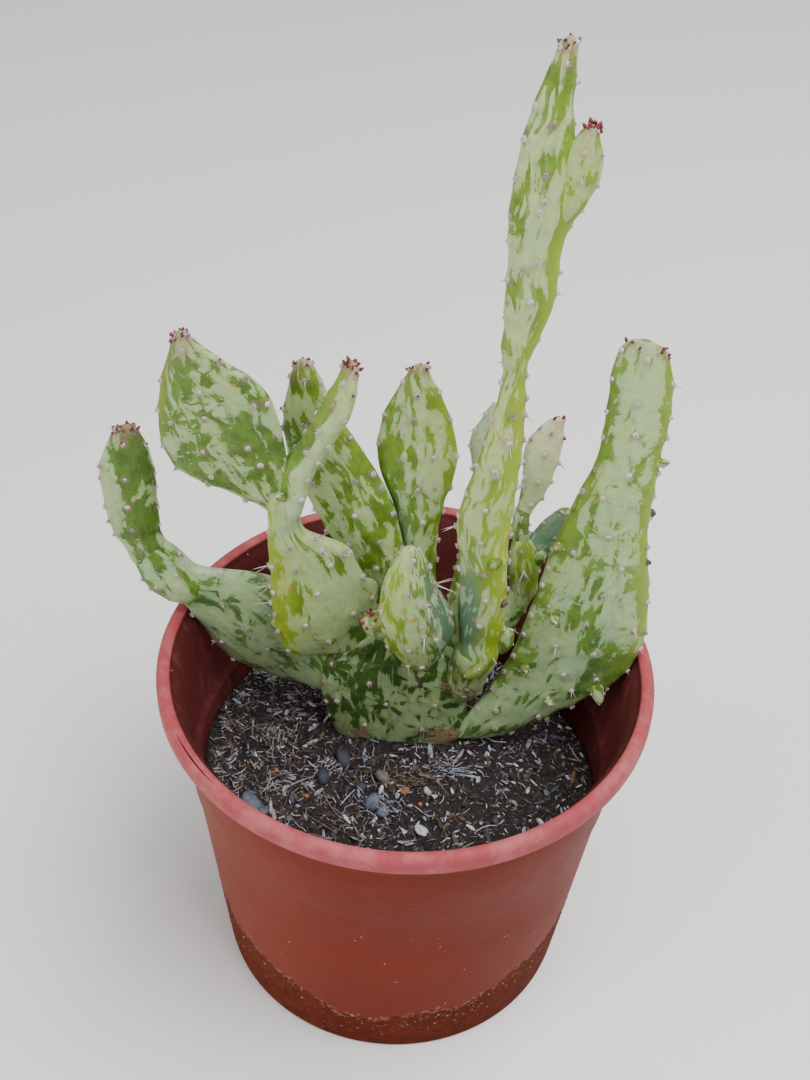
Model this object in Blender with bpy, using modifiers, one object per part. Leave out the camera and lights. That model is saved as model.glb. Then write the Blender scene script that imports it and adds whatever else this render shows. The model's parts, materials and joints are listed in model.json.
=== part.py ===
"""A clump of variegated paddle cactus in a plastic nursery pot.

Metres, +Z up. The origin is the centre of the pot's flat underside, +X is to the
right of the clump's front and +Y goes towards its back. Lengths below are in
millimetres and angles in degrees; they become metres and radians where meshes are made.
"""

from math import cos, exp, hypot, pi, radians, sin, tau

import bmesh
import bpy
from mathutils import Vector

MM = 0.001
GAP = 0.3                # air kept between two pieces that touch

# --- pot -------------------------------------------------------------------------------
POT_HEIGHT = 162.0
RIM_RADIUS = 100.0
BASE_RADIUS = 76.3
LIP_WIDTH = 6.0          # how thick the rolled lip is, measured across
LIP_DEPTH = 8.0          # how far its outside hangs down
LIP_OVERHANG = 7.0       # how far it stands out from the wall below it
WALL = 2.0
FLOOR = 2.6
CORNER = 2.5             # the bevel where the floor meets the wall inside
STEP_HEIGHT = 108.0      # a faint step runs round the outside here
STEP_WIDTH = 0.8
LEDGE_HEIGHT = 112.0     # the stacking ledge inside
LEDGE_WIDTH = 2.4
LEDGE_SLOPE = 3.0        # how far the ledge falls across its width
POT_SEGMENTS = 72
DRAIN_COUNT = 8
DRAIN_RADIUS = 6.0
DRAIN_RING = 56.0        # the holes' centres lie on this circle

# --- soil ------------------------------------------------------------------------------
SOIL_LEVEL = 105.0
SOIL_MOUND = 3.0         # extra height round the stems
SOIL_DIP = 11.0          # how far it has sunk at the right of the back
SOIL_RINGS = 7
SOIL_SEGMENTS = 48

# --- pads ------------------------------------------------------------------------------
PAD_AROUND = 16          # faces round a pad
PAD_ALONG = 12           # faces from its root to its tip
LONG_PAD_ALONG = 18
LONG_PAD = 110.0         # a pad longer than this counts as long
BUD_AROUND = 10
BUD_ALONG = 7
END_ROUNDNESS = 3.0      # how blunt both ends of a pad are, 2 being an ellipse
SECTION_SQUARENESS = 2.4  # 2 is an elliptic cross-section, more is boxier

# Each pad grows from the one named first. root and tip are the two ends of its middle
# line. facing is the way its flat side looks: 0 is the front, 90 the right. edges gives
# how far its left and right margins lie from the middle line, at even steps from root
# to tip, and thick half its thickness, likewise. bow bends the middle line: the first
# number towards the right margin, the second out of the flat side.
PADS = {
    "mother_pad": dict(
        grows_from="soil", root=(-1, 10, 78), tip=(-4, 11, 167), facing=0,
        edges=((16, 18), (26, 26), (31, 29), (32, 29), (27, 26)), thick=(5, 7, 8, 8, 6)),

    "left_low_pad": dict(
        grows_from="mother_pad", root=(-28, 14, 131), tip=(-93, 21, 181), facing=-5, bow=(0, -3),
        edges=((13, 12), (20, 22), (25, 28), (19, 23), (13, 13)), thick=(5, 5.5, 6, 5.5, 4.5)),
    "left_elbow_pad": dict(
        grows_from="left_low_pad", root=(-87, 21, 171), tip=(-106, 21, 197), facing=0,
        edges=((12, 13), (14, 9), (13, 10), (10, 8)), thick=(5, 5.5, 5, 4)),
    "left_tip_pad": dict(
        grows_from="left_elbow_pad", root=(-104, 21, 188), tip=(-109, 20, 257), facing=10,
        edges=((11, 6), (15, 6), (16, 7), (15, 8), (10, 7)), thick=(4, 5, 5.5, 5, 3.5)),

    "front_left_pad": dict(
        grows_from="mother_pad", root=(-29, 9, 155), tip=(-47, 8, 240), facing=15,
        edges=((28, 30), (24, 26), (22, 22), (20, 20), (18, 18), (16, 15), (15, 3), (13, 1), (11, 1)),
        thick=(5, 6, 6.5, 6, 5.5, 5, 4.5, 4.5, 4)),
    "narrow_pad": dict(
        grows_from="front_left_pad", root=(-47, 6, 228), tip=(-24, 4, 302), facing=-42,
        edges=((11, 6), (11, 3), (7, 5), (5, 8), (5, 7)), thick=(4, 4.5, 4.5, 4, 3.5)),
    "left_high_pad": dict(
        grows_from="front_left_pad", root=(-48, 9, 229), tip=(-84, 8, 308), facing=-8,
        clear_of=("narrow_pad",),
        edges=((12, 2), (21, 6), (32, 13), (32, 17), (26, 17), (18, 9), (9, 3)),
        thick=(3.5, 4, 5, 5, 5, 4.5, 3.5)),

    "back_left_pad": dict(
        grows_from="mother_pad", root=(-4, 19, 156), tip=(-45, 30, 284), facing=-10,
        edges=((6, 8), (4, 13), (11, 16), (16, 17), (19, 13), (17, 8), (8, 8)),
        thick=(4, 5, 5.5, 5.5, 5, 4.5, 3.5)),
    "back_centre_pad": dict(
        grows_from="mother_pad", root=(8, 18, 157), tip=(-1, 36, 281), facing=5,
        clear_of=("back_left_pad",),
        edges=((7, 6), (8, 5), (9, 5), (12, 8), (18, 14), (17, 12), (9, 6)),
        thick=(4.5, 5, 5, 5.5, 5.5, 4.5, 3.5)),

    "front_stub_pad": dict(
        grows_from="mother_pad", root=(7, -2, 158), tip=(-1, -1, 224), facing=10,
        edges=((8, 7), (12, 11), (15, 15), (15, 13), (14, 9), (11, 8), (7, 6)),
        thick=(6, 8, 9, 9, 8, 6.5, 5)),

    "stem_foot": dict(
        grows_from="mother_pad", root=(25, 7, 134), tip=(29, 2, 170), facing=0,
        edges=((6, 6), (9, 7), (11, 8)), thick=(5, 7, 6)),
    "stem_pad": dict(
        grows_from="stem_foot", root=(30, 2, 158), tip=(31, 3, 314), facing=0,
        edges=((13, 9), (13, 9), (13, 7), (15, 6), (10, 7), (6, 7), (5, 6)),
        thick=(7, 7, 7, 6.5, 6, 5.5, 5)),
    "stem_top_pad": dict(
        grows_from="stem_pad", root=(31, 3, 306), tip=(38, 6, 421), facing=10,
        edges=((7, 8), (8, 11), (9, 10), (11, 10), (11, 7), (9, 5), (6, 5)),
        thick=(5, 5.5, 5.5, 5.5, 5, 4.5, 3.5)),
    "stem_side_pad": dict(
        grows_from="stem_top_pad", root=(41, 4, 359), tip=(48, 2, 394), facing=-15,
        edges=((2, 5), (3, 7), (5, 7), (5, 3)), thick=(3, 4, 4, 3)),

    "right_pad": dict(
        grows_from="mother_pad", root=(24, 7, 110), tip=(76, 14, 311), facing=0,
        edges=((2, 28), (-3, 40.5), (-5, 54), (-4, 54), (-2, 45), (-1, 34), (-2, 28), (5, 25), (15, 22)),
        thick=(6, 6.5, 6.5, 6.5, 6, 6, 6, 5.5, 4)),

    "back_stem_pad": dict(
        grows_from="mother_pad", root=(20, 16, 154), tip=(28, 34, 220), facing=0,
        edges=((7, 7), (8, 8), (7, 8), (6, 6)), thick=(4.5, 5, 5, 4)),
    "back_pale_pad": dict(
        grows_from="back_stem_pad", root=(24, 33, 213), tip=(27, 38, 264), facing=0,
        edges=((4, 5), (4, 7), (7, 8), (2, 6)), thick=(3.5, 4, 4, 3)),
    "knee_pad": dict(
        grows_from="mother_pad", root=(24, 16, 148), tip=(46, 28, 179), facing=0,
        clear_of=("back_stem_pad",),
        edges=((6, 6), (6, 9), (5, 7)), thick=(4.5, 4.5, 4)),
    "round_pad": dict(
        grows_from="knee_pad", root=(47, 29, 171), tip=(43, 31, 203), facing=0,
        edges=((5, 6), (6, 7), (6, 7), (5, 5)), thick=(5, 6, 6, 4)),
    "link_pad": dict(
        grows_from="round_pad", root=(43, 32, 198), tip=(42, 36, 215), facing=0,
        edges=((4, 4), (4, 4), (4, 4)), thick=(3.5, 4, 3.5)),
    "pale_tip_pad": dict(
        grows_from="link_pad", root=(43, 36, 210), tip=(54, 44, 254), facing=5,
        edges=((4, 4), (6, 6), (10, 6), (7, 4)), thick=(3.5, 4.5, 4.5, 3)),
    "blue_green_pad": dict(
        grows_from="round_pad", root=(46, 33, 188), tip=(63, 38, 214), facing=0,
        edges=((5, 5), (7, 7), (6, 6)), thick=(3, 4, 3)),

    "tucked_pad": dict(
        grows_from="front_left_pad", root=(-21, 13, 169), tip=(-16, 17, 190), facing=0,
        clear_of=("back_left_pad",),
        edges=((4, 5), (6, 6), (4, 5)), thick=(2.5, 3, 2.5)),
}

# Each bud: the pad it grows from, its two ends, its greatest half width, and any
# neighbour it has to stay clear of.
BUDS = {
    "front_stub_bud": ("front_stub_pad", (-8, -3, 179), (-16, -6, 190), 6.0, ()),
    "stem_bud": ("stem_pad", (31, 1, 217), (31, -7, 221), 3.0, ()),
    "foot_shoot": ("stem_foot", (34, -1, 163), (23, -8, 161), 3.3, ("stem_pad", "right_pad")),
    "spiny_bud": ("stem_pad", (37, 3, 165), (40, 1, 181), 4.0, ("right_pad",)),
    "link_bud": ("round_pad", (48, 30, 190), (53, 28, 199), 3.2, ("blue_green_pad",)),
    "neck_bud": ("front_left_pad", (-48, 6, 236), (-51, 0, 243), 2.2, ("left_high_pad", "narrow_pad")),
    "left_edge_bud": ("front_left_pad", (-48, 8, 168), (-57, 9, 173), 4.0, ("left_low_pad",)),
    "hanging_bud": ("right_pad", (77, 6, 151), (81, 1, 140), 3.2, ()),
    "upper_margin_bud": ("right_pad", (57, 10, 235), (54, 4, 240), 2.2, ()),
    "lower_margin_bud": ("right_pad", (56, 9, 219), (53, 2, 223), 3.2, ()),
    "right_face_bud": ("right_pad", (57, 5, 186), (57, -3, 189), 2.6, ()),
    "low_face_bud": ("right_pad", (48, 5, 158), (48, -3, 161), 2.6, ()),
    "bottom_face_bud": ("right_pad", (60, 5, 140), (60, -3, 142), 2.4, ()),
    "outer_margin_bud": ("right_pad", (86, 10, 260), (92, 9, 262), 2.2, ()),
}

COLOURS = {
    "pot": (0.33, 0.075, 0.055),
    "soil": (0.035, 0.024, 0.018),
    "pad": (0.36, 0.49, 0.20),
}


def material(name, colour, roughness):
    """A plain non-metallic Principled material."""
    made = bpy.data.materials.new(name)
    made.use_nodes = True
    shader = made.node_tree.nodes["Principled BSDF"]
    shader.inputs["Base Color"].default_value = (*colour, 1.0)
    shader.inputs["Roughness"].default_value = roughness
    shader.inputs["Metallic"].default_value = 0.0
    return made


def new_object(name, mesh, collection):
    """Put a mesh in the scene under its own name."""
    made = bpy.data.objects.new(name, mesh)
    collection.objects.link(made)
    return made


def cutter_from(name, mesh, cutters):
    """A hidden tool for a Boolean."""
    made = new_object(name, mesh, cutters)
    made.hide_render = True
    made.display_type = "WIRE"
    return made


def cut_away(target, tool):
    """Take the tool's volume out of the target."""
    modifier = target.modifiers.new("clear of " + tool.name, "BOOLEAN")
    modifier.operation = "DIFFERENCE"
    modifier.solver = "EXACT"
    modifier.object = tool


def turned(name, profile, segments, collection):
    """Spin a profile of (radius, height) points in millimetres about the Z axis."""
    mesh = bpy.data.meshes.new(name)
    points = [(radius * MM, 0.0, height * MM) for radius, height in profile]
    mesh.from_pydata(points, [(i, i + 1) for i in range(len(points) - 1)], [])
    made = new_object(name, mesh, collection)
    screw = made.modifiers.new("turn", "SCREW")
    screw.axis = "Z"
    screw.steps = segments
    screw.render_steps = segments
    screw.use_merge_vertices = True
    screw.merge_threshold = 0.00005
    screw.use_smooth_shade = True
    return made


def bake(made):
    """Replace an object's mesh by what its modifiers make of it."""
    depsgraph = bpy.context.evaluated_depsgraph_get()
    baked = bpy.data.meshes.new_from_object(made.evaluated_get(depsgraph))
    baked.name = made.data.name
    made.modifiers.clear()
    made.data = baked


def tapered_wall(height):
    """The outer radius that the wall above the step would have at any height."""
    top = RIM_RADIUS - LIP_OVERHANG
    bottom = BASE_RADIUS + STEP_WIDTH
    return bottom + (top - bottom) * height / (POT_HEIGHT - LIP_DEPTH)


def outer_wall(height):
    """The wall's outer radius, a little less below the step."""
    return tapered_wall(height) - (0.0 if height > STEP_HEIGHT else STEP_WIDTH)


def inner_wall(height):
    """The wall's inner radius, which draws in at the ledge."""
    return tapered_wall(height) - WALL - (0.0 if height > LEDGE_HEIGHT else LEDGE_WIDTH)


def pot_profile():
    """From the floor's centre up the inside, over the rolled lip and down the outside."""
    lip_inner = RIM_RADIUS - LIP_WIDTH
    under_lip = POT_HEIGHT - LIP_DEPTH
    ledge_top = LEDGE_HEIGHT + LEDGE_SLOPE
    inside = [(0.0, FLOOR), (inner_wall(0.0) - CORNER, FLOOR), (inner_wall(FLOOR + CORNER), FLOOR + CORNER)]
    inside += [(inner_wall(LEDGE_HEIGHT), LEDGE_HEIGHT), (inner_wall(ledge_top), ledge_top)]
    inside += [(inner_wall(under_lip), under_lip), (lip_inner - 0.6, POT_HEIGHT - 3.2)]
    lip = [(lip_inner + 0.6, POT_HEIGHT - 0.9), (lip_inner + 1.6, POT_HEIGHT - 0.2)]
    lip += [(lip_inner + 2.8, POT_HEIGHT), (RIM_RADIUS - 1.8, POT_HEIGHT - 0.5)]
    lip += [(RIM_RADIUS - 0.6, POT_HEIGHT - 1.6), (RIM_RADIUS, POT_HEIGHT - 3.2)]
    lip += [(RIM_RADIUS, under_lip + 1.2), (RIM_RADIUS - 0.8, under_lip)]
    outside = [(outer_wall(under_lip), under_lip), (outer_wall(STEP_HEIGHT + 0.8), STEP_HEIGHT + 0.8)]
    outside += [(outer_wall(STEP_HEIGHT), STEP_HEIGHT), (outer_wall(1.5), 1.5)]
    outside += [(BASE_RADIUS - 1.5, 0.0), (0.0, 0.0)]
    return inside + lip + outside


def make_pot(parts, cutters):
    """The pot, with a ring of drain holes through its floor."""
    pot = turned("pot", pot_profile(), POT_SEGMENTS, parts)
    drill = bmesh.new()
    for index in range(DRAIN_COUNT):
        angle = tau * (index + 0.5) / DRAIN_COUNT
        hole = bmesh.ops.create_cone(
            drill, cap_ends=True, segments=20, radius1=DRAIN_RADIUS * MM,
            radius2=DRAIN_RADIUS * MM, depth=4 * FLOOR * MM)
        place = Vector((DRAIN_RING * cos(angle), DRAIN_RING * sin(angle), FLOOR / 2)) * MM
        bmesh.ops.translate(drill, verts=hole["verts"], vec=place)
    mesh = bpy.data.meshes.new("drain_drill")
    drill.to_mesh(mesh)
    drill.free()
    cut_away(pot, cutter_from("drain_drill", mesh, cutters))
    pot.data.materials.append(material("pot", COLOURS["pot"], 0.5))
    return pot


def soil_height(x, y):
    """The soil's surface: mounded round the stems, sunk at the right of the back."""
    mound = SOIL_MOUND * exp(-(x * x + (y - 10.0) ** 2) / (2 * 34.0 ** 2))
    towards_back_right = max(0.0, (x * cos(radians(42)) + y * sin(radians(42))) / BASE_RADIUS)
    return SOIL_LEVEL + mound - SOIL_DIP * towards_back_right ** 2


def make_soil(parts):
    """The soil fills the pot from its floor up and follows its wall."""
    reach = inner_wall(SOIL_LEVEL) - GAP
    profile = [(reach * step / SOIL_RINGS, SOIL_LEVEL) for step in range(SOIL_RINGS + 1)]
    profile += [(inner_wall(FLOOR + CORNER) - GAP, FLOOR + CORNER)]
    profile += [(inner_wall(0.0) - CORNER - GAP, FLOOR + GAP), (0.0, FLOOR + GAP)]
    soil = turned("soil", profile, SOIL_SEGMENTS, parts)
    bake(soil)
    top = (SOIL_LEVEL - 1.0) * MM
    for vertex in soil.data.vertices:
        if vertex.co.z > top:
            x, y = vertex.co.x / MM, vertex.co.y / MM
            vertex.co.z = soil_height(x, y) * MM
            tuck = (inner_wall(vertex.co.z / MM) - GAP) / reach
            vertex.co.x *= tuck
            vertex.co.y *= tuck
    soil.data.materials.append(material("soil", COLOURS["soil"], 0.95))
    return soil


def along(stations, t):
    """Read a smooth curve through evenly spaced stations, at t from 0 to 1."""
    last = len(stations) - 1
    index = min(int(t * last), last - 1)
    f = t * last - index
    before, a = stations[max(index - 1, 0)], stations[index]
    b, after = stations[index + 1], stations[min(index + 2, last)]
    bend = 2 * before - 5 * a + 4 * b - after
    return a + 0.5 * f * (b - before + f * (bend + f * (3 * (a - b) + after - before)))


def rounded(value, squareness):
    """Push a sine or cosine outwards so that an ellipse becomes a rounder box."""
    return (1 if value >= 0 else -1) * abs(value) ** (2 / squareness)


def pad_frame(spec):
    """A pad's root, its axis, and the directions across and out of its flat side."""
    root = Vector(spec["root"])
    axis = Vector(spec["tip"]) - root
    turn = radians(spec["facing"])
    ahead = axis.normalized()
    out = Vector((sin(turn), -cos(turn), 0.0))
    out = (out - ahead * out.dot(ahead)).normalized()
    return root, axis, ahead.cross(out), out


def pad_point(spec, t, across, outward, swell=0.0):
    """A pad's surface at t along it; across and outward are its section's cosine and sine."""
    root, axis, side, out = pad_frame(spec)
    end = max(0.0, 1 - abs(2 * t - 1) ** END_ROUNDNESS) ** (1 / END_ROUNDNESS)
    left = along([pair[0] for pair in spec["edges"]], t)
    right = along([pair[1] for pair in spec["edges"]], t)
    lean, bulge = spec.get("bow", (0.0, 0.0))
    arch = 4 * t * (1 - t)
    middle = root + axis * t + side * (lean * arch + end * (right - left) / 2) + out * bulge * arch
    half_width = end * (right + left) / 2 + swell
    half_thick = end * along(spec["thick"], t) + swell
    middle += axis.normalized() * swell * (2 * t - 1)
    return middle + side * half_width * across + out * half_thick * outward


def bud_spec(grows_from, root, tip, half_width, clear_of):
    """A bud is a small round pad."""
    return dict(
        grows_from=grows_from, root=root, tip=tip, facing=0, clear_of=clear_of,
        edges=((0.8 * half_width,) * 2, (half_width,) * 2, (0.85 * half_width,) * 2),
        thick=(0.7 * half_width, 0.85 * half_width, 0.75 * half_width))


def faces_of(name, spec):
    """How many faces go round a pad and along it."""
    if name in BUDS:
        return BUD_AROUND, BUD_ALONG
    length = (Vector(spec["tip"]) - Vector(spec["root"])).length
    return PAD_AROUND, LONG_PAD_ALONG if length > LONG_PAD else PAD_ALONG


def pad_mesh(name, spec, faces, swell=0.0):
    """A closed pad, made from a sphere whose poles become the root and the tip."""
    pad = bmesh.new()
    bmesh.ops.create_uvsphere(pad, u_segments=faces[0], v_segments=faces[1], radius=1.0)
    for vertex in pad.verts:
        x, y, z = vertex.co
        ring = max(hypot(x, y), 1e-6)
        across = rounded(x / ring, SECTION_SQUARENESS)
        outward = rounded(-y / ring, SECTION_SQUARENESS)
        vertex.co = pad_point(spec, (1 + z) / 2, across, outward, swell) * MM
    mesh = bpy.data.meshes.new(name)
    pad.to_mesh(mesh)
    pad.free()
    mesh.shade_smooth()
    return mesh


def make_plant(parts, cutters, soil):
    """Every pad and bud, cut back where it grows out of the one below it."""
    plant = dict(PADS)
    plant.update({name: bud_spec(*bud) for name, bud in BUDS.items()})
    tools = {}
    for name, spec in plant.items():
        grown = pad_mesh(name + "_tool", spec, faces_of(name, spec), swell=GAP)
        tools[name] = cutter_from(name + "_tool", grown, cutters)
    for name, spec in plant.items():
        pad = new_object(name, pad_mesh(name, spec, faces_of(name, spec)), parts)
        pad.data.materials.append(material(name, COLOURS["pad"], 0.5))
        if spec["grows_from"] == "soil":
            cut_away(soil, tools[name])
        else:
            cut_away(pad, tools[spec["grows_from"]])
        for other in spec.get("clear_of", ()):
            cut_away(pad, tools[other])


def main():
    for old in list(bpy.data.objects):
        bpy.data.objects.remove(old, do_unlink=True)
    parts = bpy.data.collections.new("potted_paddle_cactus")
    cutters = bpy.data.collections.new("cutters")
    bpy.context.scene.collection.children.link(parts)
    bpy.context.scene.collection.children.link(cutters)
    make_pot(parts, cutters)
    soil = make_soil(parts)
    make_plant(parts, cutters, soil)


main()
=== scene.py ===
import json
from math import atan2, cos, exp, hypot, pi, radians, sin, tau
from random import Random

import bmesh
import bpy
from bpy.props import FloatProperty, FloatVectorProperty, IntProperty, PointerProperty
from mathutils import Matrix, Vector, noise
from mathutils.bvhtree import BVHTree
from mathutils.kdtree import KDTree


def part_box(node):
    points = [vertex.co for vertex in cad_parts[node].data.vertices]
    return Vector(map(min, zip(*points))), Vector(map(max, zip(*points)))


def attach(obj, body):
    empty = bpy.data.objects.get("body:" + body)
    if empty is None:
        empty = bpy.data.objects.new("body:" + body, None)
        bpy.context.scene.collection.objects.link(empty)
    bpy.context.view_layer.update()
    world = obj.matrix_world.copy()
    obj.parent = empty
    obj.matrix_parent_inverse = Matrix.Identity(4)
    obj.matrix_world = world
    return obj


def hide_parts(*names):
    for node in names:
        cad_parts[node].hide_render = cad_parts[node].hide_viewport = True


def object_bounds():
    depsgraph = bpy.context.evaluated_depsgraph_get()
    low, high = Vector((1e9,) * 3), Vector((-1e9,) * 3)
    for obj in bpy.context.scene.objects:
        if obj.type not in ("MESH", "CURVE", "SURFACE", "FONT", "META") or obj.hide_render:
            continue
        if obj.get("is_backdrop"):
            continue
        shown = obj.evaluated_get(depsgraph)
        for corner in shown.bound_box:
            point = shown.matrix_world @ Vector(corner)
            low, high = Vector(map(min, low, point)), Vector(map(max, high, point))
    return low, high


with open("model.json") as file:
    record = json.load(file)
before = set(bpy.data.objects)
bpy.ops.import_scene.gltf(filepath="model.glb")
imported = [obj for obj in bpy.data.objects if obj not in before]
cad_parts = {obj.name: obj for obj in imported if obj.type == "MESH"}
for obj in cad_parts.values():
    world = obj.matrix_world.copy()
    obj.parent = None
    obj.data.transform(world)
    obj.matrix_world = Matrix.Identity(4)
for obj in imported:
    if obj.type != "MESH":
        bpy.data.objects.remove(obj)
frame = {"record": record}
CAD_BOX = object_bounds()

bl_info = {
    "name": "Potted Paddle Cactus",
    "version": (1, 0, 0),
    "blender": (4, 5, 0),
    "location": "3D View > Sidebar > Cactus",
    "description": "Makes the skin, areoles, soil and pot of a variegated paddle cactus",
    "category": "Add Mesh",
}

MM = 0.001                   # lengths below are in millimetres unless they say otherwise
POT_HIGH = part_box("pot")[1] / MM

# --- pot: the same sizes as its solid ----------------------------------------------------
POT_HEIGHT = POT_HIGH.z
RIM_RADIUS = POT_HIGH.x
BASE_RADIUS = 76.3
LIP_WIDTH = 6.0
LIP_DEPTH = 8.0
LIP_OVERHANG = 7.0
WALL = 2.0
FLOOR = 2.6
CORNER = 2.5
STEP_HEIGHT = 108.0
STEP_WIDTH = 0.8
LEDGE_HEIGHT = 112.0
LEDGE_WIDTH = 2.4
LEDGE_SLOPE = 3.0
DRAIN_COUNT = 8
DRAIN_RADIUS = 6.0
DRAIN_RING = 56.0
WALL_RINGS = (40.0, 80.0)    # heights of the rings of faces between the foot and the ledge
LIP_FLARE = 4.0              # how much wider than the wall the inside is under the lip
LIP_DARK_EDGE = 0.8          # how much of the lip still wears the finish of the inside
STAIN_CLIMB = 0.0035         # the stain climbs by this times the square of the way across
CRUMB_COUNT = 1500

# --- soil --------------------------------------------------------------------------------
SOIL_LEVEL = 105.0
SOIL_MOUND = 3.0
MOUND_BACK = 10.0            # how far behind the middle the mound stands
MOUND_SPREAD = 34.0
SOIL_DIP = 11.0
DIP_HEADING = radians(42)
SOIL_EDGE = 70.0             # where the surface starts to sag towards the wall
EDGE_WIDTH = 14.0
SOIL_GAP = 0.3               # between the soil and the wall
SOIL_REACH = 85.0            # nothing further out than this grows from the soil
SURFACE_REACH = 82.0         # how far out the fibres follow the surface
FIBRE_MARGIN = 0.8           # between a fibre and the wall
LONG_FIBRES = 0.012          # the share of long straws
THINNING_ACROSS = 160.0      # how slowly the fibres thin out to the right
THINNING_BACK = 400.0        # and towards the front

# --- pads --------------------------------------------------------------------------------
END_ROUNDNESS = 3.0
SECTION_SQUARENESS = 2.4
FILLET = 9.0                 # how far from another pad the skin starts to swell towards it
SKIN_INSET = 0.5             # the skin lies this far inside the solid, so that wool and bumps fit
UNEVENNESS = 0.4             # the range of the skin's gentle swells
SWELL_SCALE = 0.055
TUBERCLE_HEIGHT = 0.55       # the bump under an areole
TUBERCLE_REACH = 2.8
BUD_LOOKS = dict(green=0.02, yellow=0.3, dark=0.35, blush=0.05)
BUD_FACE_SHARE = 0.4         # a bud's faces are this much of a pad's

# --- areoles, spines and leaves ----------------------------------------------------------
WIDEST_SPACING = 18.5
NARROWEST_SPACING = 9.0
GOLDEN_TURN = 2.4            # from one hair, leaf or bud areole to the next, in radians
AREOLE_STAND = 1.2           # a point this far out of an areole has to be free of other pads
AREOLE_DEPTH = 1.8           # or else no deeper in another pad than this
SOIL_CLEARANCE = 1.5         # areoles lie this far above the soil
BRISTLE_COUNT = 7
HAIR_THICKNESS = 0.11
BRISTLE_THICKNESS = 0.09
LEAF_RADII = (0.5, 0.65, 0.42)
SCAR_SCALES = 9              # shrivelled scales in a dried flower scar

# --- stage, in metres --------------------------------------------------------------------
STAGE_RADIUS = 4.0
STAGE_DROP = 0.0002          # the floor lies this far under the pot
ROOM_COLOUR = (1.0, 1.0, 0.99, 1.0)
ROOM_STRENGTH = 0.45
LAMP_AIM = (0, 0, 0.18)
# Each soft lamp: name, place, size, power and colour.
LAMPS = (
    ("sky_panel", (0.45, -0.3, 1.45), 1.0, 29.0, (1.0, 0.985, 0.96)),
    ("front_panel", (-2.0, -1.04, 0.88), 1.6, 33.0, (1.0, 0.98, 0.95)),
    ("back_panel", (0.9, 0.9, 1.1), 0.9, 6.0, (0.95, 0.98, 1.0)),
)

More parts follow.
